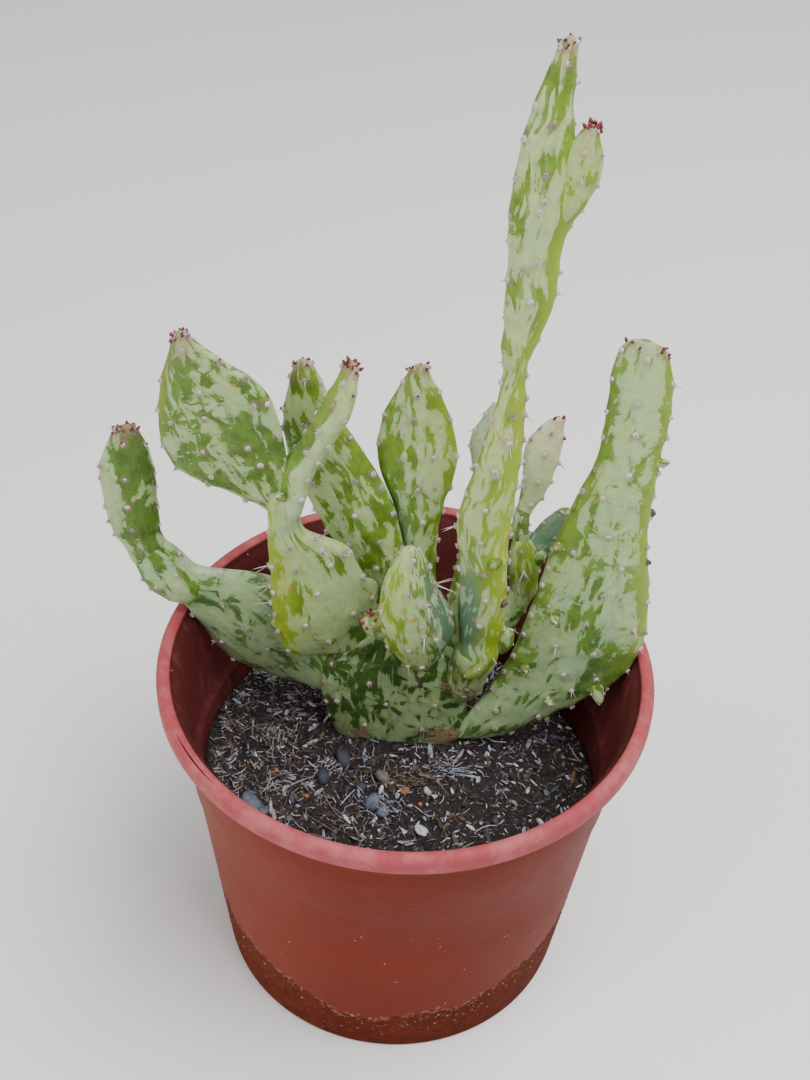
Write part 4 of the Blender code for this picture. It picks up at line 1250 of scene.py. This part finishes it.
class CACTUS_OT_make_areoles(bpy.types.Operator):
    """Make the woolly cushions, their wool and their short bristles"""
    bl_idname = "cactus.make_areoles"
    bl_label = "Areoles"

    def execute(self, context):
        settings = context.scene.cactus_areoles
        rng = Random(11)
        cushions, wool, bristles = Bits(), Bits(), Bits()
        template = ball(2)
        for areole in all_areoles():
            place, normal, size = areole["place"] * MM, areole["normal"], areole["size"]
            radius = settings.radius * size
            spread = (radius * rng.uniform(0.9, 1.15), radius, radius * 0.62)
            top = place + normal * radius * 0.35
            matrix = facing_matrix(top, normal, spread, rng.uniform(0, tau))
            cushions.lump(template, matrix, rng.random(), rng, 0.12)
            flat = normal.orthogonal().normalized()
            other = normal.cross(flat)
            for hair in range(settings.hairs):
                angle = hair * GOLDEN_TURN + rng.uniform(-0.3, 0.3)
                reach = radius * (hair / settings.hairs) ** 0.5
                outward = flat * cos(angle) + other * sin(angle)
                base = top + outward * reach + normal * radius * (0.5 - 0.35 * reach / radius)
                lean = outward * rng.uniform(0.1, 0.75) + normal * rng.uniform(0.5, 1.0)
                length = settings.wool * size * rng.uniform(0.4, 0.85)
                curl = other * rng.uniform(-0.12, 0.12) * MM
                tip = base + lean.normalized() * length
                wool.spike(base, tip, HAIR_THICKNESS * MM, 3, rng.random(), curl)
            for _ in range(BRISTLE_COUNT):
                angle = rng.uniform(0, tau)
                outward = flat * cos(angle) + other * sin(angle)
                lean = outward * rng.uniform(0.0, 0.5) + normal
                base = top + normal * radius * 0.4 + outward * radius * 0.3
                tip = base + lean.normalized() * rng.uniform(0.5, 1.1) * MM * size
                bristles.spike(base, tip, BRISTLE_THICKNESS * MM, 3, rng.random())
        pale = tuft_finish("areole_felt", (0.17, 0.135, 0.125), (0.58, 0.55, 0.54))
        white = tuft_finish("areole_wool", (0.55, 0.51, 0.5), (0.86, 0.84, 0.85))
        brown = tuft_finish("bristle", (0.12, 0.06, 0.035), (0.36, 0.2, 0.11), 0.6)
        cushions.finish("areole_cushions", pale, "bud")
        wool.finish("areole_wool_tufts", white, "bud")
        bristles.finish("areole_bristles", brown, "bud")
        return {"FINISHED"}


def in_box(point):
    """True if the point, in metres, is inside the whole object's box."""
    low, high = CAD_BOX
    return all(low[axis] < point[axis] < high[axis] for axis in range(3))


class CACTUS_OT_make_spines(bpy.types.Operator):
    """Make the spines of the older areoles"""
    bl_idname = "cactus.make_spines"
    bl_label = "Spines"

    def execute(self, context):
        rng = Random(23)
        spines = Bits()
        for areole in all_areoles():
            count, length = areole["spines"]
            place, normal, pad = areole["place"] * MM, areole["normal"], areole["pad"]
            for _ in range(count):
                spread = Vector([rng.uniform(-1, 1) for _ in range(3)])
                down = -pad.ahead * rng.uniform(-0.1, 0.5)
                aim = (normal + spread * 0.45 + down).normalized()
                reach = length * rng.uniform(0.7, 1.05) * MM
                thick = (0.13 + 0.01 * length) * MM
                bend = spread * 0.02 * reach
                base = place + normal * 0.5 * MM
                if not in_box(base + aim * reach):
                    continue
                spines.spike(base, base + aim * reach, thick, 6, rng.random(), bend)
        make_dried(rng)
        material = tuft_finish("spine", (0.75, 0.7, 0.66), (0.16, 0.085, 0.05), 0.5)
        spines.finish("spines", material, "bud")
        return {"FINISHED"}


def make_dried(rng):
    """Shrivelled dark scars where flowers or buds fell off."""
    dried = Bits()
    scale = ball(2)
    for name, along_pad, across, size in DRIED:
        pad = PLANT[name]
        angle = angle_of(across, 1)
        place, normal = pad.point(along_pad, angle), pad.normal(along_pad, angle)
        for _ in range(SCAR_SCALES):
            off = Vector([rng.uniform(-0.6, 0.6) for _ in range(3)]) * size
            top = (place + off + normal * 0.25 * size) * MM
            spread = (0.75 * size * MM, 0.3 * size * MM, 0.55 * size * MM)
            matrix = facing_matrix(top, normal + off * 0.4, spread, rng.uniform(0, tau))
            dried.lump(scale, matrix, rng.random(), rng, 0.12)
    material = tuft_finish("dried_scale", (0.02, 0.012, 0.014), (0.16, 0.12, 0.12))
    dried.finish("dried_scars", material, "bud")


class CACTUS_OT_make_leaves(bpy.types.Operator):
    """Make the crimson young leaves at the growing tips"""
    bl_idname = "cactus.make_leaves"
    bl_label = "Young leaves"

    def execute(self, context):
        length = context.scene.cactus_areoles.leaf
        rng = Random(37)
        leaves = Bits()
        for areole in all_areoles():
            pad, normal = areole["pad"], areole["normal"]
            young = pad.name in CROWNS and pad.name != "right_pad" and areole["t"] > 0.8
            if not areole["crown"] and not (young and rng.random() < 0.75):
                continue
            for _ in range(2 if areole["crown"] else 1):
                spread = Vector([rng.uniform(-0.4, 0.4) for _ in range(3)])
                aim = (normal * 0.8 + pad.ahead * 0.5 + spread).normalized()
                reach = length * rng.uniform(0.5, 1.0) * (1.0 if areole["crown"] else 0.75)
                base = areole["place"] * MM + spread * 0.9 * MM
                steps = (0.0, 0.12, 0.45, 0.75, 1.0)
                curl = normal * reach * 0.12
                centres = [base + aim * reach * s + curl * s * s for s in steps]
                radii = [radius * MM for radius in LEAF_RADII]
                leaves.rings(centres, radii, 7, rng.random(), flat=0.8)
        material = tuft_finish("young_leaf", (0.075, 0.002, 0.008), (0.24, 0.015, 0.03), 0.42)
        leaves.finish("young_leaves", material, "bud")
        return {"FINISHED"}


class CACTUS_OT_make_soil(bpy.types.Operator):
    """Make the soil's crumbly surface"""
    bl_idname = "cactus.make_soil"
    bl_label = "Soil"

    def execute(self, context):
        rings, segments, halfway, corner = 62, 320, 60.0, FLOOR + CORNER
        reach = inner_wall(SOIL_LEVEL) - SOIL_GAP
        profile = [(reach * step / rings, SOIL_LEVEL) for step in range(rings + 1)]
        profile += [(inner_wall(halfway) - SOIL_GAP, halfway), (inner_wall(corner) - SOIL_GAP, corner)]
        profile += [(inner_wall(0.0) - CORNER - SOIL_GAP, FLOOR + SOIL_GAP), (0.0, FLOOR + SOIL_GAP)]
        mesh = baked(turned("soil_bed", profile, segments), "soil_bed")
        for vertex in mesh.vertices:
            if vertex.co.z > (SOIL_LEVEL - 1.0) * MM:
                x, y = vertex.co.x / MM, vertex.co.y / MM
                height = soil_surface(x, y)
                tuck = (inner_wall(height) - SOIL_GAP) / reach
                vertex.co = (x * tuck * MM, y * tuck * MM, height * MM)
        mesh.shade_smooth()
        mesh.materials.append(soil_finish(context.scene.cactus_soil))
        put("soil_bed", mesh, "potting_soil", ["soil"])
        return {"FINISHED"}


class CACTUS_OT_make_debris(bpy.types.Operator):
    """Scatter fibres, chips, lumps, stones and feed beads over the soil"""
    bl_idname = "cactus.make_debris"
    bl_label = "Loose bits"

    def execute(self, context):
        settings = context.scene.cactus_soil
        rng = Random(5)
        make_fibres(settings.fibres, rng)
        make_chips(settings.chips, rng)
        make_clods(settings.clods, rng)
        make_stones(rng)
        return {"FINISHED"}


def spot_on_soil(rng, margin=2.0, thinning=0.0):
    """A random place on the soil that no pad covers, rarer to the right if thinning is set."""
    while True:
        radius = (inner_wall(SOIL_LEVEL) - margin) * rng.random() ** 0.5
        angle = rng.uniform(0, tau)
        place = Vector((radius * cos(angle), radius * sin(angle), 0.0))
        place.z = soil_surface(place.x, place.y)
        kept = 1.0 - thinning * (0.5 + place.x / THINNING_ACROSS - place.y / THINNING_BACK)
        if rng.random() < kept and not any(pad.holds(place, -1.0) for pad in SOIL_NEIGHBOURS):
            return place


def tangle_spots(rng):
    """Places in the tangles of matted fibre, each with its tone's share and its heading."""
    for x, y, reach, count, share, heading in TANGLES:
        for _ in range(count):
            place = Vector((x + rng.gauss(0, reach / 2), y + rng.gauss(0, reach / 4), 0.0))
            place.z = soil_surface(place.x, place.y) + rng.uniform(0, 1.2)
            yield place, share + rng.uniform(-0.05, 0.05), rng.gauss(heading, 0.5)


def make_fibres(count, rng):
    """Bent fibres and straws that lie on the soil."""
    fibres = Bits()
    steps = (-0.5, -0.47, -0.2, 0.1, 0.3, 0.47, 0.5)
    shares = (0.7, 1.0, 1.0, 0.9, 0.6)
    spots = [
        (spot_on_soil(rng, thinning=0.8), rng.random(), rng.uniform(0, tau)) for _ in range(count)]
    spots += list(tangle_spots(rng))
    for place, share, angle in spots:
        long_one = rng.random() < LONG_FIBRES
        length = rng.uniform(9, 17) if long_one else 1.2 + 4.5 * rng.random() ** 1.8
        length *= 1.2 if place.x < 0 else 0.85
        run = Vector((cos(angle), sin(angle), rng.gauss(0, 0.16)))
        sideways = Vector((-sin(angle), cos(angle), 0.0)) * rng.gauss(0, 0.16) * length
        lift = rng.uniform(0.1, 0.7) + 0.05 * length
        centres = []
        for s in steps:
            point = place + run * s * length + sideways * (0.25 - s * s) * 2
            on_soil = hypot(point.x, point.y) < SURFACE_REACH
            ground = soil_surface(point.x, point.y) if on_soil else place.z
            point.z = max(point.z, ground) + lift
            if hypot(point.x, point.y) > inner_wall(point.z) - FIBRE_MARGIN:
                point = place + (point - place) * 0.15
            centres.append(point * MM)
        thick = (0.3 if long_one else 0.09 + 0.28 * rng.random() ** 2.5) * MM
        radii = [thick * part for part in shares]
        fibres.rings(centres, radii, 4, share, flat=rng.uniform(0.4, 1.0))
    fibres.finish("soil_fibres", debris_finish("fibre", FIBRE_TONES), "potting_soil")


def make_chips(count, rng):
    """Thin flat flakes of bark and husk."""
    chips = Bits()
    template = ball(1)
    for _ in range(count):
        place = spot_on_soil(rng, margin=3.0)
        normal = Vector((rng.gauss(0, 0.5), rng.gauss(0, 0.5), 1)).normalized()
        size = 0.28 + 1.4 * rng.random() ** 3
        long_side = size * rng.uniform(1.0, 2.8) * MM
        spread = (long_side, size * 0.7 * MM, size * rng.uniform(0.15, 0.35) * MM)
        lifted = (place + Vector((0, 0, 0.2 + 0.2 * size))) * MM
        matrix = facing_matrix(lifted, normal, spread, rng.uniform(0, tau))
        chips.lump(template, matrix, rng.random(), rng, 0.25)
    chips.finish("soil_chips", debris_finish("chip", CHIP_TONES), "potting_soil", smooth=False)


def make_clods(count, rng):
    """Dark crumbs and lumps."""
    clods = Bits()
    fine, coarse = ball(1), ball(2)
    for _ in range(count):
        place = spot_on_soil(rng, margin=3.0)
        size = (0.4 + 1.5 * rng.random() ** 3) * MM
        spread = (size, size * rng.uniform(0.7, 1.0), size * rng.uniform(0.55, 0.9))
        normal = Vector((rng.gauss(0, 0.4), rng.gauss(0, 0.4), 1)).normalized()
        template = fine if size < COARSE_CLOD * MM else coarse
        matrix = facing_matrix(place * MM, normal, spread, rng.uniform(0, tau))
        clods.lump(template, matrix, rng.random(), rng, 0.3)
    material = debris_finish("clod", CLOD_TONES, 0.95)
    clods.finish("soil_clods", material, "potting_soil", smooth=False)


def make_stones(rng):
    """Charcoal, pebbles, pottery bits and the round beads of slow-release feed."""
    stones, beads = Bits(), Bits()
    chunk, pebble = ball(2), ball(3)
    for x, y, size, flatness, tone in STONES:
        long_side = size * rng.uniform(0.8, 1.2) * MM / 2 * 1.3
        spread = (long_side, size * MM / 2, size * flatness * MM / 2)
        top = Vector((x, y, soil_surface(x, y) + size * flatness * 0.35)) * MM
        normal = Vector((rng.gauss(0, 0.3), rng.gauss(0, 0.3), 1)).normalized()
        share = (tone + 0.5) / len(STONE_TONES)
        shape, rough = (chunk, 0.2) if tone in CHARCOAL_TONES else (pebble, 0.03)
        matrix = facing_matrix(top, normal, spread, rng.uniform(0, tau))
        stones.lump(shape, matrix, share, rng, rough)
    for x, y in BEADS:
        place = Vector((x, y, soil_surface(x, y) + 0.8)) * MM
        matrix = facing_matrix(place, Vector((0, 0, 1)), (BEAD_RADIUS * MM,) * 3, 0.0)
        beads.lump(pebble, matrix, rng.random(), rng, 0.01)
    stones.finish("soil_stones", debris_finish("stone", STONE_TONES, 0.7), "potting_soil")
    material = tuft_finish("bead", (0.3, 0.07, 0.02), (0.4, 0.13, 0.04), 0.4)
    beads.finish("feed_beads", material, "potting_soil")


class CACTUS_OT_make_pot(bpy.types.Operator):
    """Make the nursery pot with its rolled lip, drain holes and worn plastic"""
    bl_idname = "cactus.make_pot"
    bl_label = "Pot"

    def execute(self, context):
        settings = context.scene.cactus_pot
        pot = turned("pot_shell", pot_profile(), settings.segments)
        drill = bmesh.new()
        for index in range(DRAIN_COUNT):
            angle = tau * (index + 0.5) / DRAIN_COUNT
            hole = bmesh.ops.create_cone(
                drill, cap_ends=True, segments=28, radius1=DRAIN_RADIUS * MM,
                radius2=DRAIN_RADIUS * MM, depth=4 * FLOOR * MM)
            place = Vector((DRAIN_RING * cos(angle), DRAIN_RING * sin(angle), FLOOR / 2)) * MM
            bmesh.ops.translate(drill, verts=hole["verts"], vec=place)
        gouge_lip(drill)
        mesh = bpy.data.meshes.new("drill")
        drill.to_mesh(mesh)
        drill.free()
        tool = bpy.data.objects.new("drill", mesh)
        bpy.context.scene.collection.objects.link(tool)
        cut = pot.modifiers.new("holes", "BOOLEAN")
        cut.object = tool
        cut.solver = "EXACT"
        mesh = baked(pot, "pot_shell")
        bpy.data.objects.remove(tool, do_unlink=True)
        zones = []
        for vertex in mesh.vertices:
            zones.append(zone(hypot(vertex.co.x, vertex.co.y) / MM, vertex.co.z / MM))
        store(mesh, "zone", zones)
        mesh.shade_smooth()
        mesh.set_sharp_from_angle(angle=radians(50))
        mesh.materials.append(pot_finish(settings))
        put("pot_shell", mesh, "pot_plastic", ["pot"])
        make_crumbs(settings.dirt_height / MM)
        return {"FINISHED"}


def zone(radius, height):
    """Whether a point of the pot wears the finish of the inside, the lip or the wall."""
    under_lip = POT_HEIGHT - LIP_DEPTH
    at_lip = height > under_lip - 0.2 and radius > RIM_RADIUS - LIP_WIDTH + LIP_DARK_EDGE
    reach = inner_wall(height) + (LIP_FLARE if height > under_lip else 0.0) + WALL / 2
    inside = not at_lip and height > 1.0 and radius < reach
    return float(inside), float(at_lip), float(not inside and not at_lip)


def gouge_lip(tools):
    """A thin curved blade for the old cut in the lip at the left of the front."""
    start, sweep, steps = radians(209), radians(17), 14
    middle, widest, low, high = RIM_RADIUS - 2.4, 0.32, -1.6, 1.0
    rings = []
    for step in range(steps + 1):
        angle = start + sweep * step / steps
        half = widest * sin(pi * (step + 0.6) / (steps + 1.2))
        inner, outer = middle - half, middle + half
        ring = []
        for radius, height in ((inner, low), (outer, low), (outer, high), (inner, high)):
            place = Vector((radius * cos(angle), radius * sin(angle), POT_HEIGHT + height)) * MM
            ring.append(tools.verts.new(place))
        rings.append(ring)
    for before, after in zip(rings, rings[1:]):
        for i in range(4):
            tools.faces.new((before[i], after[i], after[(i + 1) % 4], before[(i + 1) % 4]))
    tools.faces.new(rings[0])
    tools.faces.new(rings[-1][::-1])
    blade = [face for ring in rings for vertex in ring for face in vertex.link_faces]
    bmesh.ops.recalc_face_normals(tools, faces=list(set(blade)))


def make_crumbs(height):
    """Soil crumbs stuck to the wall along the top of the stain."""
    rng = Random(71)
    crumbs = Bits()
    template = ball(1)
    for _ in range(CRUMB_COUNT):
        angle = rng.uniform(0, tau)
        top = height + STAIN_CLIMB * (outer_wall(height) * cos(angle)) ** 2
        level = max(1.0, top * rng.random() ** 0.35 + rng.gauss(0, 1.5))
        radius = outer_wall(level)
        outward = Vector((cos(angle), sin(angle), 0.0))
        place = (outward * radius + Vector((0, 0, level))) * MM
        size = (0.16 + 0.5 * rng.random() ** 3) * MM
        spread = (size * rng.uniform(0.8, 1.6), size, size * 0.5)
        matrix = facing_matrix(place, outward, spread, rng.uniform(0, tau))
        crumbs.lump(template, matrix, rng.random(), rng, 0.3)
    material = debris_finish("crumb", CRUMB_TONES, 0.9)
    crumbs.finish("pot_crumbs", material, "pot_plastic", smooth=False)


class CACTUS_OT_make_stage(bpy.types.Operator):
    """Make the floor, the soft lights and the camera"""
    bl_idname = "cactus.make_stage"
    bl_label = "Stage"

    def execute(self, context):
        settings = context.scene.cactus_stage
        bpy.ops.mesh.primitive_circle_add(
            vertices=64, radius=STAGE_RADIUS, fill_type="NGON", location=(0, 0, -STAGE_DROP))
        floor = context.object
        floor.name = "floor"
        f = Finish("floor_paper", 0.9)
        f.shader.inputs["Specular IOR Level"].default_value = 0.1
        soft = f.noise(f.place(), 3.0, 3.0)
        floor.data.materials.append(f.wear(f.mix(soft, settings.floor, FLOOR_CLOUD)))
        floor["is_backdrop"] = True
        world = bpy.data.worlds.new("soft_room")
        context.scene.world = world
        world.use_nodes = True
        background = world.node_tree.nodes["Background"]
        background.inputs["Color"].default_value = ROOM_COLOUR
        background.inputs["Strength"].default_value = ROOM_STRENGTH
        for name, place, size, energy, colour in LAMPS:
            light = bpy.data.lights.new(name, "AREA")
            light.size = size
            light.energy = energy
            light.color = colour
            lamp = bpy.data.objects.new(name, light)
            context.scene.collection.objects.link(lamp)
            lamp.location = place
            ray = Vector(LAMP_AIM) - Vector(place)
            lamp.rotation_euler = ray.to_track_quat("-Z", "Y").to_euler()
        camera = bpy.data.objects.new("camera", bpy.data.cameras.new("camera"))
        context.scene.collection.objects.link(camera)
        camera.data.lens = settings.lens
        camera.data.clip_start = 0.01
        place, aim = Vector(settings.place), Vector(settings.aim)
        level = (aim - place).to_track_quat("-Z", "Y").to_matrix().to_4x4()
        camera.matrix_world = Matrix.Translation(place) @ level @ Matrix.Rotation(settings.roll, 4, "Z")
        context.scene.camera = camera
        return {"FINISHED"}


class CACTUS_PT_panel(bpy.types.Panel):
    """Buttons and settings for the potted cactus"""
    bl_idname = "CACTUS_PT_panel"
    bl_label = "Potted Cactus"
    bl_space_type = "VIEW_3D"
    bl_region_type = "UI"
    bl_category = "Cactus"

    def draw(self, context):
        for operator in OPERATORS:
            self.layout.operator(operator.bl_idname)
        for name in SETTINGS:
            box = self.layout.box()
            group = getattr(context.scene, name)
            for field in group.__annotations__:
                box.prop(group, field)


# --- the plant, and what the add-on holds ------------------------------------------------
PLANT = make_plant()
SOIL_NEIGHBOURS = [PLANT[name] for name in ("mother_pad", "right_pad", "left_low_pad", "stem_foot")]


def all_areoles():
    """Every areole of the plant, pad by pad."""
    return [areole for pad in PLANT.values() for areole in pad.areoles]


SETTINGS = {
    "cactus_pot": PotSettings, "cactus_skin": SkinSettings, "cactus_areoles": AreoleSettings,
    "cactus_soil": SoilSettings, "cactus_stage": StageSettings,
}
OPERATORS = (
    CACTUS_OT_make_pot, CACTUS_OT_make_soil, CACTUS_OT_make_debris, CACTUS_OT_make_skin,
    CACTUS_OT_make_areoles, CACTUS_OT_make_spines, CACTUS_OT_make_leaves, CACTUS_OT_make_stage,
)
CLASSES = (*SETTINGS.values(), *OPERATORS, CACTUS_PT_panel)


def register():
    for made in CLASSES:
        bpy.utils.register_class(made)
    for name, group in SETTINGS.items():
        setattr(bpy.types.Scene, name, PointerProperty(type=group))


def unregister():
    for name in SETTINGS:
        delattr(bpy.types.Scene, name)
    for made in reversed(CLASSES):
        bpy.utils.unregister_class(made)


def main():
    """Make everything, then work out the two boxes."""
    register()
    bpy.ops.cactus.make_pot()
    bpy.ops.cactus.make_soil()
    bpy.ops.cactus.make_debris()
    bpy.ops.cactus.make_skin()
    bpy.ops.cactus.make_areoles()
    bpy.ops.cactus.make_spines()
    bpy.ops.cactus.make_leaves()
    bpy.ops.cactus.make_stage()
    boxes = {"cad": CAD_BOX, "visual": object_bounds()}
    plain = {name: [list(corner) for corner in box] for name, box in boxes.items()}


if __name__ == "__main__":
    main()
